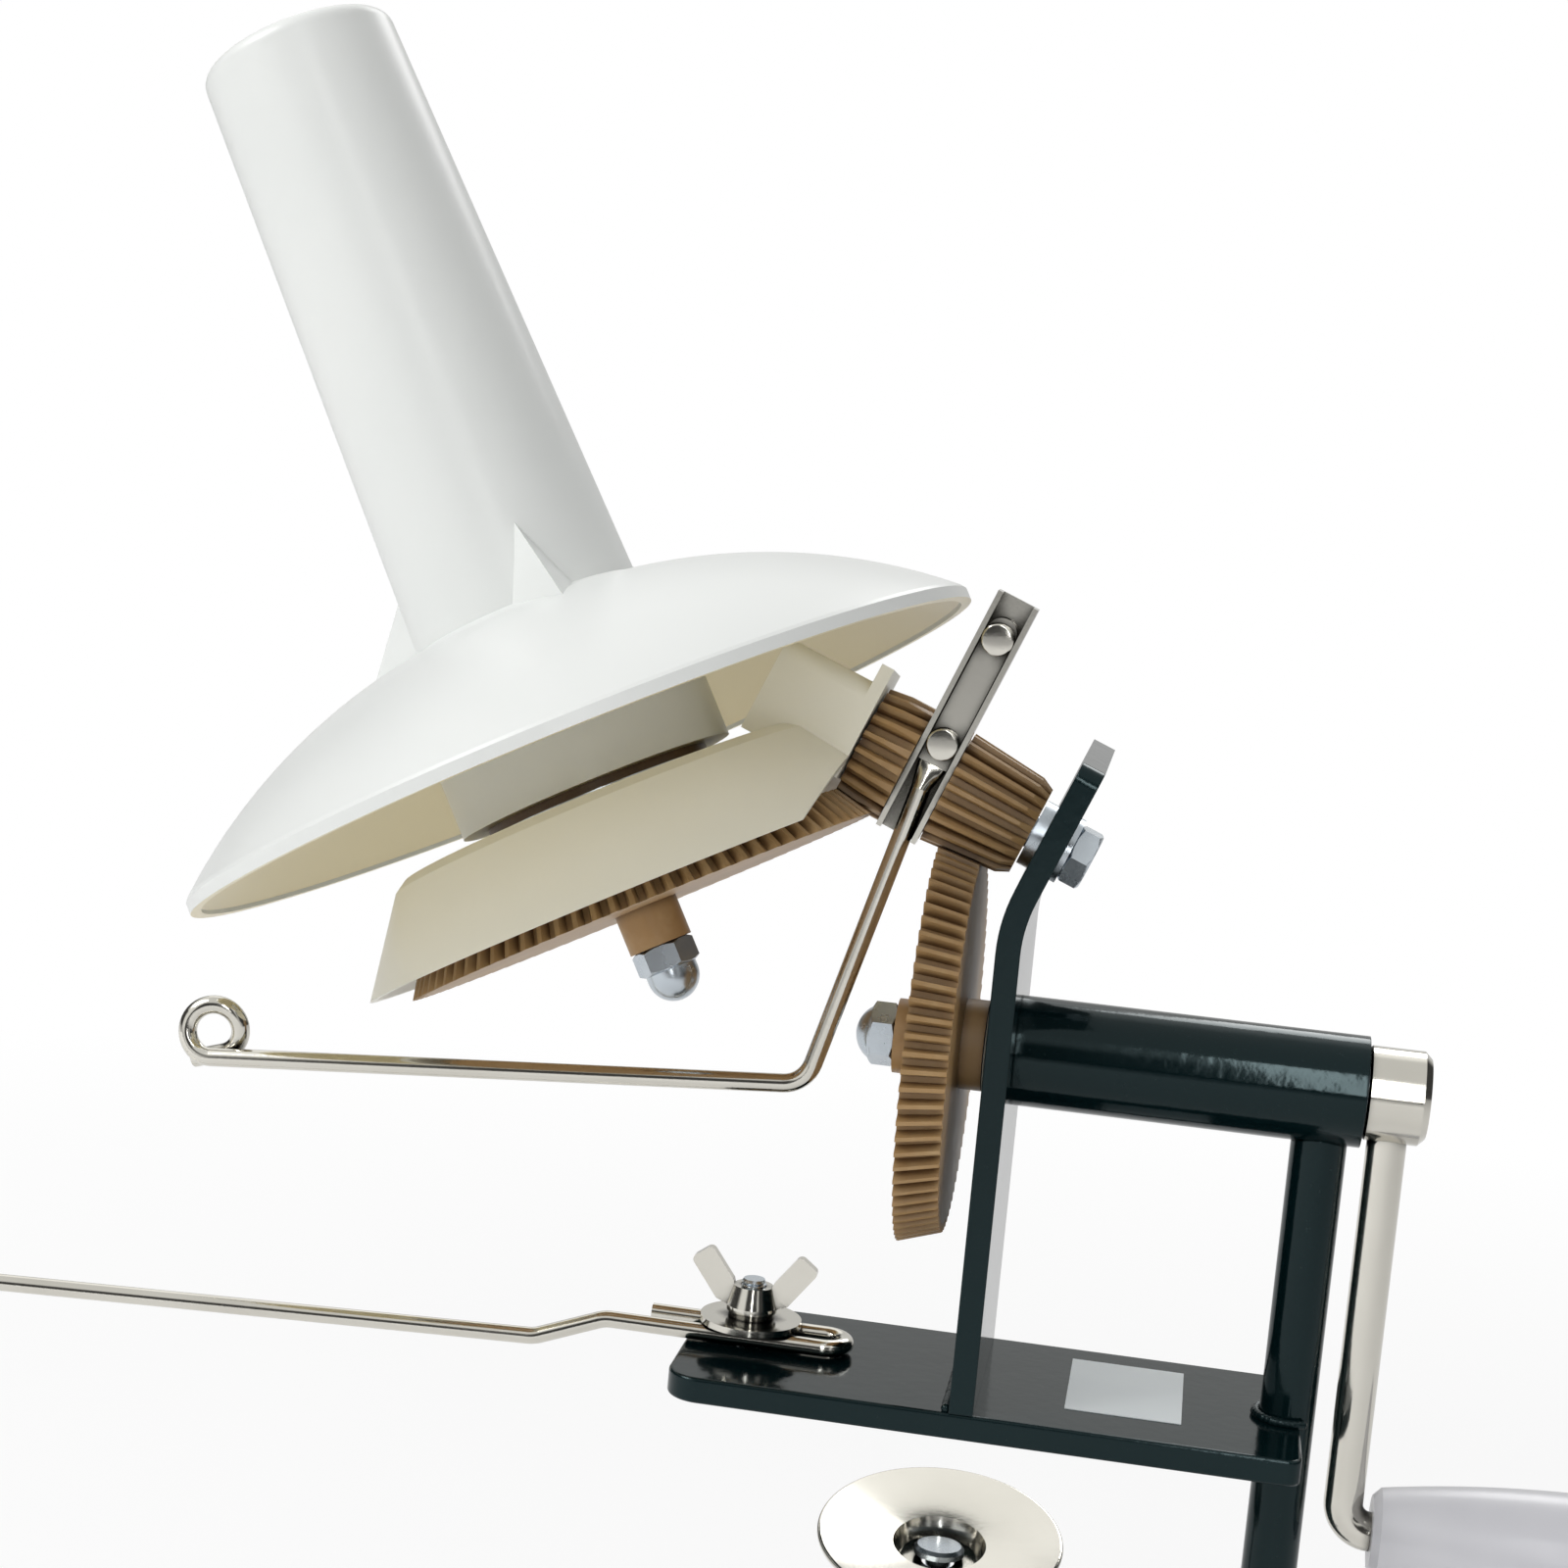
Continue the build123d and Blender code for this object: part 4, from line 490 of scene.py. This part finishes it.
# runs a geometry tree on a piece and keeps the result as its plain mesh
def runTree(piece, group, values):
    modifier = piece.modifiers.new(group.name, "NODES")
    modifier.node_group = group
    for item in group.interface.items_tree:
        if item.in_out == "INPUT" and item.name in values:
            modifier[item.identifier] = values[item.name]
    graph = bpy.context.evaluated_depsgraph_get()
    mesh = bpy.data.meshes.new_from_object(piece.evaluated_get(graph), depsgraph=graph)
    name = piece.name
    old = piece.data
    result = bpy.data.objects.new(name + "Made", mesh)
    bpy.context.scene.collection.objects.link(result)
    bpy.data.objects.remove(piece)
    (bpy.data.meshes if isinstance(old, bpy.types.Mesh) else bpy.data.curves).remove(old)
    result.name = name
    mesh.name = name
    return result


# a piece made about its own Z axis goes to its place in the machine's frame
def placed(piece, origin, axis, across):
    zAxis = Vector(axis).normalized()
    xAxis = (Vector(across) - zAxis * zAxis.dot(Vector(across))).normalized()
    yAxis = zAxis.cross(xAxis)
    turn = Matrix((xAxis, yAxis, zAxis)).transposed().to_4x4()
    turn.translation = Vector(origin)
    piece.data.transform(turn)
    return piece


# smooth shading, broken where two faces meet at more than the angle
def shaded(piece, angle):
    piece.data.shade_smooth()
    piece.data.set_sharp_from_angle(angle=math.radians(angle))
    return piece


def standsFor(piece, node):
    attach(piece, bodyOf[node])
    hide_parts(node)


# clips a turned blank to a hexagon, so that its chamfers run off the flats as real ones do
def makeHexTree():
    tree, source = geometryTree("hexFlats", {"Across Flats": 13 * mm, "Finish": None})
    x, y, z = tree.split(tree.add("GeometryNodeInputPosition"))
    radius = ((x * x + y * y) ** 0.5).maths("MAXIMUM", 1e-7)
    turn = y.maths("ARCTAN2", x)
    sixth = math.pi / 3
    side = turn.maths("FLOORED_MODULO", sixth) - sixth / 2
    flat = source["Across Flats"] / 2 / side.maths("COSINE")
    shrink = (flat / radius).maths("MINIMUM", 1.0)
    spot = tree.add("ShaderNodeCombineXYZ", values={0: x * shrink, 1: y * shrink, 2: z})
    values = {"Geometry": source["Geometry"], "Position": spot}
    return endTree(tree, tree.add("GeometryNodeSetPosition", values=values), source["Finish"])


threadShape = {"Pitch": 1.5 * mm, "Depth": 0.9 * mm, "Start": 0.0, "End": 10 * mm, "Core": 3 * mm}
crestFlat = 1.15  # over 1 leaves a narrow flat on the crest


# cuts a helical vee into the stretch of a turned rod between two heights
def makeThreadTree():
    tree, source = geometryTree("screwThread", threadShape | {"Finish": None})
    x, y, z = tree.split(tree.add("GeometryNodeInputPosition"))
    radius = ((x * x + y * y) ** 0.5).maths("MAXIMUM", 1e-7)
    turn = y.maths("ARCTAN2", x) / (2 * math.pi)
    phase = (z / source["Pitch"] - turn).maths("FRACT")
    vee = (1 - (phase * 2 - 1).maths("ABSOLUTE") * crestFlat).clamp()
    fadeIn = ((z - source["Start"]) / source["Pitch"]).clamp()
    fadeOut = ((source["End"] - z) / source["Pitch"]).clamp()
    outside = radius.maths("GREATER_THAN", source["Core"])
    cut = vee * source["Depth"] * fadeIn * fadeOut * outside
    shrink = (radius - cut) / radius
    spot = tree.add("ShaderNodeCombineXYZ", values={0: x * shrink, 1: y * shrink, 2: z})
    values = {"Geometry": source["Geometry"], "Position": spot}
    return endTree(tree, tree.add("GeometryNodeSetPosition", values=values), source["Finish"])


weldDrop = {"segments": 14, "rings": 9, "smallest": 0.86, "seed": 11}


# lays overlapping drops along a line, as a weld bead has
def makeBeadTree():
    tree, source = geometryTree("weldBead", {"Step": 1.0 * mm, "Width": 1.3 * mm, "Finish": None})
    path = {"Curve": source["Geometry"], "Length": source["Step"]}
    line = tree.add("GeometryNodeResampleCurve", {"mode": "LENGTH"}, path)
    ball = {"Segments": weldDrop["segments"], "Rings": weldDrop["rings"], "Radius": 1.0}
    drop = tree.add("GeometryNodeMeshUVSphere", values=ball)
    spread = {2: weldDrop["smallest"], 3: 1.0, "Seed": weldDrop["seed"]}
    size = tree.add("FunctionNodeRandomValue", {"data_type": "FLOAT"}, spread, output=1)
    scale = source["Width"] * size
    dropSize = tree.add("ShaderNodeCombineXYZ", values={0: scale, 1: scale, 2: scale})
    row = {"Points": line, "Instance": drop, "Scale": dropSize}
    drops = tree.add("GeometryNodeInstanceOnPoints", values=row)
    real = tree.add("GeometryNodeRealizeInstances", values={0: drops})
    smooth = tree.add("GeometryNodeSetShadeSmooth", values={0: real})
    return endTree(tree, smooth, source["Finish"])


hexTree = makeHexTree()
threadTree = makeThreadTree()
beadTree = makeBeadTree()
hexAround = 96  # divides by six, so that the corners fall on a division
hexSharp = 28
rodSharp = 30
hexBlank = {"faceShare": 0.96, "cornerSpare": 0.02, "chamfer": 30, "rows": 6}


# a chamfered hexagon's blank: rows from inside the flats out to the corner circle, and back
def hexProfile(acrossFlats, bottom, top):
    flat = acrossFlats / 2
    face = flat * hexBlank["faceShare"]
    corner = flat / math.cos(math.radians(30)) + hexBlank["cornerSpare"]
    rise = (corner - face) * math.tan(math.radians(hexBlank["chamfer"]))
    shares = [step / hexBlank["rows"] for step in range(hexBlank["rows"] + 1)]
    rows = [(0, bottom)]
    rows += [(face + (corner - face) * share, bottom + rise * share) for share in shares]
    rows += [(corner - (corner - face) * share, top - rise * (1 - share)) for share in shares]
    return rows


# rows of a dome from its foot up to the middle of its top
def domeRows(radius, foot, height, rows=10):
    sphere = (radius * radius + height * height) / (2 * height)
    span = math.asin(min(1.0, radius / sphere))
    made = []
    for step in range(rows):
        angle = span * (1 - step / rows)
        made.append((sphere * math.sin(angle), foot + height - sphere * (1 - math.cos(angle))))
    return made + [(0, foot + height)]


# rows up a rod, close enough together to take a thread
def rodRows(radius, start, end, step):
    count = max(1, math.ceil((end - start) / step))
    return [(radius, start + (end - start) * index / count) for index in range(count + 1)]


def hexPiece(name, profile, acrossFlats, slot):
    values = {"Across Flats": acrossFlats * mm, "Finish": finishes[slot]}
    return runTree(turned(name, profile, hexAround), hexTree, values)


def threadedPiece(name, profile, around, thread, slot):
    values = {label: thread[label] * mm for label in threadShape}
    return runTree(turned(name, profile, around), threadTree, values | {"Finish": finishes[slot]})


gearNut = {
    "acrossFlats": 13.0, "hex": 6.0, "domeFoot": 6.05, "domeRadius": 6.04, "dome": 3.35,
    "at": (-21.9, 0, 84), "axis": (-1, 0, 0),
}


# domed nut that holds the drive gear on its shaft
def makeGearNut():
    size = gearNut
    profile = hexProfile(size["acrossFlats"], 0, size["hex"]) + [(size["domeFoot"], size["hex"])]
    profile += domeRows(size["domeRadius"], size["domeFoot"], size["dome"])
    piece = hexPiece("gearNut", profile, size["acrossFlats"], "zinc")
    placed(piece, Vector(size["at"]) * mm, size["axis"], (0, 0, 1))
    standsFor(shaded(piece, hexSharp), "drive_gear_nut")


spindleNut = {
    "acrossFlats": 13.0, "hex": 6.0, "seam": 0.05, "collar": 1.8, "domeRadius": 6.1, "dome": 5.8,
    "height": -99.5,
}


# acorn nut under the head, with a plain collar between its flats and its dome
def makeSpindleNut():
    size = spindleNut
    radius = size["domeRadius"]
    shoulder = size["hex"] + size["collar"]
    profile = hexProfile(size["acrossFlats"], 0, size["hex"])
    profile += [(radius, size["hex"] + size["seam"]), (radius, shoulder)]
    profile += domeRows(radius, shoulder, size["dome"])[1:]
    piece = hexPiece("spindleNut", profile, size["acrossFlats"], "zinc")
    placed(piece, headApex + spindleDir * size["height"] * mm, -spindleDir, meshDir)
    standsFor(shaded(piece, hexSharp), "spindle_nut")


axleBolt = {
    "acrossFlats": 13.0, "seat": 149.55, "head": 5.3, "shank": 4.0, "thread": 3.0,
    "shoulder": 95.5, "end": 86.0, "dish": 0.35, "dishOuter": 4.9, "dishInner": 4.5,
}


# the sloping axle: a hexagon head with a shallow dish, a shank and a thinner end
def makeAxleBolt():
    size = axleBolt
    top = size["seat"] + size["head"]
    profile = [(0, size["end"]), (size["thread"], size["end"]), (size["thread"], size["shoulder"])]
    profile += [(size["shank"], size["shoulder"]), (size["shank"], size["seat"])]
    profile += hexProfile(size["acrossFlats"], size["seat"], top)[1:]
    profile += [(size["dishOuter"], top), (size["dishInner"], top - size["dish"]), (0, top - size["dish"])]
    piece = hexPiece("axleBolt", profile, size["acrossFlats"], "zinc")
    placed(piece, headApex, axleDir, (0, 1, 0))
    standsFor(shaded(piece, hexSharp), "axle_bolt")


flyerNut = {
    "acrossFlats": 7.0, "height": 3.2, "recess": 0.3, "recessOuter": 2.3, "recessInner": 2.02,
    "station": 112.8, "up": 36.0, "depth": 5.0,
}


# small nut behind the flyer channel
def makeFlyerNut():
    size = flyerNut
    top = size["height"]
    floor = top - size["recess"]
    profile = hexProfile(size["acrossFlats"], 0, top)
    profile += [(size["recessOuter"], top), (size["recessInner"], floor), (0, floor)]
    piece = hexPiece("flyerNut", profile, size["acrossFlats"], "nickel")
    spot = axleDir * size["station"] + axleUp * size["up"] - depthDir * size["depth"]
    placed(piece, headApex + spot * mm, (0, 1, 0), axleDir)
    standsFor(shaded(piece, hexSharp), "flyer_nut")


flyerScrew = {
    "around": 48, "station": 112.8, "seat": 8.6, "head": 2.5, "headRadius": 3.7,
    "shank": 2.0, "tipChamfer": 0.25, "rim": 0.55, "rimRows": 6,
    "crown": 0.12, "faceRadius": 1.6, "faceDrop": 0.03,
    "pitch": 0.7, "depth": 0.35, "core": 1.9, "runOut": 1,
    "screws": {
        "lowerFlyerScrew": {"node": "lower_flyer_screw", "up": 9.3, "tip": -2.95},
        "upperFlyerScrew": {"node": "upper_flyer_screw", "up": 36.0, "tip": 1.0},
    },
}


# cheese heads with a softly rounded rim and a slightly crowned face
def makeFlyerScrews():
    size = flyerScrew
    seat, shank, headRadius, rim = size["seat"], size["shank"], size["headRadius"], size["rim"]
    top = seat + size["head"]
    edge = top - size["crown"]
    for name, screw in size["screws"].items():
        tip = screw["tip"]
        profile = [(0, tip), (shank - size["tipChamfer"], tip), (shank, tip + size["tipChamfer"])]
        profile += [(shank, seat), (headRadius, seat), (headRadius, edge - rim)]
        for step in range(1, size["rimRows"] + 1):
            angle = math.pi / 2 * step / size["rimRows"]
            profile.append((headRadius - rim * (1 - math.cos(angle)), edge - rim * (1 - math.sin(angle))))
        profile += [(size["faceRadius"], top - size["faceDrop"]), (0, top)]
        thread = {"Pitch": size["pitch"], "Depth": size["depth"], "Core": size["core"]}
        thread |= {"Start": tip - size["runOut"], "End": seat - size["runOut"]}
        piece = threadedPiece(name, profile, size["around"], thread, "nickel")
        spot = axleDir * size["station"] + axleUp * screw["up"]
        placed(piece, headApex + spot * mm, (0, -1, 0), axleDir)
        standsFor(shaded(piece, rodSharp), screw["node"])


guideStud = {
    "around": 48, "at": (-50, 2, 0), "radius": 3.0, "top": 21.3, "threadFrom": 10.5,
    "tipHeight": 0.6, "tipInset": 0.5, "pitch": 1.0, "depth": 0.55, "core": 2.9,
    "runOut": 1, "rowsPerTurn": 8,
}


# threaded stud that the wing nut turns on
def makeGuideStud():
    size = guideStud
    radius, top = size["radius"], size["top"]
    profile = [(0, 0), (radius, 0)]
    step = size["pitch"] / size["rowsPerTurn"]
    profile += rodRows(radius, size["threadFrom"], top - size["tipHeight"], step)
    profile += [(radius - size["tipInset"], top), (0, top)]
    thread = {"Pitch": size["pitch"], "Depth": size["depth"], "Core": size["core"]}
    thread |= {"Start": size["threadFrom"], "End": top + size["runOut"]}
    piece = threadedPiece("guideStud", profile, size["around"], thread, "zinc")
    placed(piece, Vector(size["at"]) * mm, (0, 0, 1), (1, 0, 0))
    standsFor(shaded(piece, rodSharp), "guide_stud")


clampScrew = {
    "around": 40, "headTop": -36.354, "headUnder": -38.354, "head": 6.0, "neck": 3.0, "shoulder": -42.692,
    "radius": 5.0, "round": 0.8, "plainFoot": 2, "pitch": 1.5, "depth": 0.85, "core": 4.9, "threadFoot": 4,
    "runOut": 1, "rowsPerTurn": 7, "drumTop": -122.0, "drumBottom": -138.0, "drum": 7.5,
    "handleAt": -130.0, "handleHole": 3.55, "drillReach": 12,
}


# swivel head, neck, threaded body, and a drum that the handle slides through
def makeClampScrew():
    size = clampScrew
    edge, radius, shoulder = size["round"], size["radius"], size["shoulder"]
    drum, drumTop, drumBottom = size["drum"], size["drumTop"], size["drumBottom"]
    profile = [(0, drumBottom), (drum - edge, drumBottom), (drum, drumBottom + edge)]
    profile += [(drum, drumTop - edge), (drum - edge, drumTop), (radius, drumTop)]
    step = size["pitch"] / size["rowsPerTurn"]
    profile += rodRows(radius, drumTop + size["plainFoot"], shoulder - edge, step)
    profile += [(radius - edge, shoulder), (size["neck"], shoulder), (size["neck"], size["headUnder"])]
    profile += [(size["head"], size["headUnder"]), (size["head"], size["headTop"] - edge)]
    profile += [(size["head"] - edge, size["headTop"]), (0, size["headTop"])]
    thread = {"Pitch": size["pitch"], "Depth": size["depth"], "Core": size["core"]}
    thread |= {"Start": drumTop + size["threadFoot"], "End": shoulder + size["runOut"]}
    piece = threadedPiece("clampScrew", profile, size["around"], thread, "zinc")
    reach, hole = size["drillReach"], size["handleHole"]
    drill = turned("drill", [(0, -reach), (hole, -reach), (hole, reach), (0, reach)], size["around"])
    placed(drill, Vector((0, 0, size["handleAt"])) * mm, (0, 1, 0), (1, 0, 0))
    cut = piece.modifiers.new("handleHole", "BOOLEAN")
    cut.operation = "DIFFERENCE"
    cut.solver = "EXACT"
    cut.object = drill
    graph = bpy.context.evaluated_depsgraph_get()
    mesh = bpy.data.meshes.new_from_object(piece.evaluated_get(graph), depsgraph=graph)
    piece.modifiers.clear()
    piece.data = mesh
    bpy.data.objects.remove(drill)
    standsFor(shaded(piece, rodSharp), "clamp_screw")


makeGearNut()
makeSpindleNut()
makeAxleBolt()
makeFlyerNut()
makeFlyerScrews()
makeGuideStud()
makeClampScrew()
print("turned hardware made")

postWeld = {
    "centre": (76.5, 0, 6.7), "radius": 7.25, "from": 62, "to": 298, "points": 40,
    "step": 1.15, "width": 1.25,
}
footWeld = {"x": -0.05, "half": 28.6, "z": 6.75, "step": 1.3, "width": 1.15}


def polyLine(name, points):
    curve = bpy.data.curves.new(name, "CURVE")
    curve.dimensions = "3D"
    spline = curve.splines.new("POLY")
    spline.points.add(len(points) - 1)
    for point, spot in zip(spline.points, points):
        point.co = (*(Vector(spot) * mm), 1)
    line = bpy.data.objects.new(name, curve)
    bpy.context.scene.collection.objects.link(line)
    return line


def layBead(name, points, size, node):
    values = {"Step": size["step"] * mm, "Width": size["width"] * mm, "Finish": finishes["dark_paint"]}
    standsFor(runTree(polyLine(name, points), beadTree, values), node)


# a ring round the post, and a line along the foot of the bar
def makeWelds():
    size = postWeld
    x, y, z = size["centre"]
    arc = []
    for step in range(size["points"] + 1):
        angle = math.radians(size["from"] + (size["to"] - size["from"]) * step / size["points"])
        arc.append((x + size["radius"] * math.cos(angle), y + size["radius"] * math.sin(angle), z))
    layBead("postWeld", arc, size, "post_weld")
    size = footWeld
    ends = [(size["x"], -size["half"], size["z"]), (size["x"], size["half"], size["z"])]
    layBead("footWeld", ends, size, "foot_weld")


makeWelds()
print("welds laid")

viewpoint = {
    "at": (39.97, -663.68, 224.36), "yaw": 0.140, "pitch": 0.126, "roll": 0.092,
    "lens": 67.16, "sensor": 36, "nearest": 0.05, "farthest": 50,
}


# camera at the photograph's viewpoint, from the sleeve, post, bar and plate edges
def makeCamera():
    look = viewpoint
    yaw, pitch, roll = look["yaw"], look["pitch"], look["roll"]
    ahead = math.cos(pitch)
    forward = Vector((-math.sin(yaw) * ahead, math.cos(yaw) * ahead, -math.sin(pitch)))
    level = Vector((math.cos(yaw), math.sin(yaw), 0))
    upright = level.cross(forward)
    right = level * math.cos(roll) + upright * math.sin(roll)
    up = upright * math.cos(roll) - level * math.sin(roll)
    data = bpy.data.cameras.new("photoCamera")
    data.lens = look["lens"]
    data.sensor_width = look["sensor"]
    data.clip_start = look["nearest"]
    data.clip_end = look["farthest"]
    camera = bpy.data.objects.new("photoCamera", data)
    turn = Matrix((right, up, -forward)).transposed().to_4x4()
    turn.translation = Vector(look["at"]) * mm
    camera.matrix_world = turn
    bpy.context.scene.collection.objects.link(camera)
    bpy.context.scene.camera = camera


studio = {
    "background": 1.0, "fill": 0.50, "aim": (-0.06, 0, 0.12),
    "floorHalf": 14, "floorDrop": 0.032, "floorShade": 0.86,
    "shadowShare": 0.30, "shadowReach": 0.55,
    "lamps": {
        "keyLamp": {"at": (-1.7, -0.9, 1.7), "size": 1.0, "length": 1.0, "power": 36},
        "stripLamp": {"at": (0.20, -1.9, 0.95), "size": 0.12, "length": 1.6, "power": 6},
        "backLamp": {"at": (0.5, 1.9, 1.7), "size": 1.0, "length": 1.0, "power": 12},
    },
}


# low enough for the clamp screw wound right down; near the object it takes the shadow, and further out
# it turns into the plain background
def makeFloor():
    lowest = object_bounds()[0][2] - studio["floorDrop"]
    half = studio["floorHalf"]
    shape = bmesh.new()
    sides = ((-half, -half), (half, -half), (half, half), (-half, half))
    shape.faces.new([shape.verts.new((x, y, lowest)) for x, y in sides])
    mesh = bpy.data.meshes.new("floor")
    shape.to_mesh(mesh)
    shape.free()
    floor = bpy.data.objects.new("floor", mesh)
    bpy.context.scene.collection.objects.link(floor)
    material, tree, place = newMaterial("paleFloor")
    x, y, z = tree.split(place)
    away = ((x * x + y * y) ** 0.5 - studio["shadowReach"]) / studio["shadowReach"]
    shadow = (1 - away.clamp()) * studio["shadowShare"]
    matt = tree.add("ShaderNodeBsdfDiffuse", values={"Color": solid([studio["floorShade"]] * 3)})
    light = {"Color": solid((1, 1, 1)), "Strength": studio["background"]}
    glow = tree.add("ShaderNodeEmission", values=light)
    seen = tree.add("ShaderNodeLightPath", output=0)
    both = tree.add("ShaderNodeMixShader", values={0: seen * (1 - shadow), 1: matt, 2: glow})
    tree.add("ShaderNodeOutputMaterial", values={0: both})
    mesh.materials.append(material)


# what polished metal mirrors: mostly dark, with a pale ceiling, back wall, ground, window and strip
room = {
    "base": 0.05, "least": 0.03, "most": 1.2, "blue": 0.985,
    "ceiling": {"from": 0.42, "edge": 6, "level": 0.72},
    "ground": {"from": -0.25, "edge": 5, "level": 0.30},
    "backWall": {"from": 0.30, "edge": 4, "half": 0.62, "sideEdge": 5, "level": 0.62},
    "window": {"at": -0.62, "half": 0.30, "edge": 8, "front": 0.2, "frontEdge": 5, "level": 0.85},
    "strip": {"at": 0.55, "half": 0.10, "edge": 14, "front": 0.1, "frontEdge": 5, "level": 0.60},
}


# an upright pale stretch in front of the object
def paleStretch(x, y, look):
    across = ((look["half"] - (x - look["at"]).maths("ABSOLUTE")) * look["edge"]).clamp()
    return across * ((look["front"] - y) * look["frontEdge"]).clamp() * look["level"]


# white behind the object, softer light on it, and the room for metal to mirror
def makeWorld():
    world = bpy.data.worlds.new("studioWorld")
    bpy.context.scene.world = world
    world.use_nodes = True
    tree = Tree(world.node_tree)
    x, y, z = tree.split(tree.add("ShaderNodeTexCoord", output=0))
    ceiling, ground, wall = room["ceiling"], room["ground"], room["backWall"]
    above = ((z - ceiling["from"]) * ceiling["edge"]).clamp() * ceiling["level"]
    below = ((ground["from"] - z) * ground["edge"]).clamp() * ground["level"]
    middle = ((wall["half"] - x.maths("ABSOLUTE")) * wall["sideEdge"]).clamp()
    behind = ((y - wall["from"]) * wall["edge"]).clamp() * middle * wall["level"]
    front = paleStretch(x, y, room["window"]) + paleStretch(x, y, room["strip"])
    level = (room["base"] + above + behind + front + below).clamp(room["least"], room["most"])
    shade = tree.add("ShaderNodeCombineXYZ", values={0: level, 1: level, 2: level * room["blue"]})
    light = tree.add("ShaderNodeLightPath", output=0)
    mirrored = Wire(tree, light.socket.node.outputs[3])
    plain = tree.add("ShaderNodeBackground", values={0: solid((1, 1, 1)), 1: studio["fill"]})
    white = tree.add("ShaderNodeBackground", values={0: solid((1, 1, 1)), 1: studio["background"]})
    dim = tree.add("ShaderNodeBackground", values={0: shade, 1: 1.0})
    lit = tree.add("ShaderNodeMixShader", values={0: mirrored, 1: plain, 2: dim})
    seen = tree.add("ShaderNodeMixShader", values={0: light, 1: lit, 2: white})
    tree.add("ShaderNodeOutputWorld", values={0: seen})


def makeLamps():
    for name, lamp in studio["lamps"].items():
        data = bpy.data.lights.new(name, "AREA")
        data.shape = "RECTANGLE"
        data.size = lamp["size"]
        data.size_y = lamp["length"]
        data.energy = lamp["power"]
        thing = bpy.data.objects.new(name, data)
        spot = Vector(lamp["at"])
        thing.location = spot
        thing.rotation_euler = (Vector(studio["aim"]) - spot).to_track_quat("-Z", "Y").to_euler()
        bpy.context.scene.collection.objects.link(thing)


makeCamera()
makeFloor()
makeWorld()
makeLamps()
bpy.context.scene.view_settings.view_transform = "Standard"
print("camera, floor, world and lamps set")

bpy.context.view_layer.update()
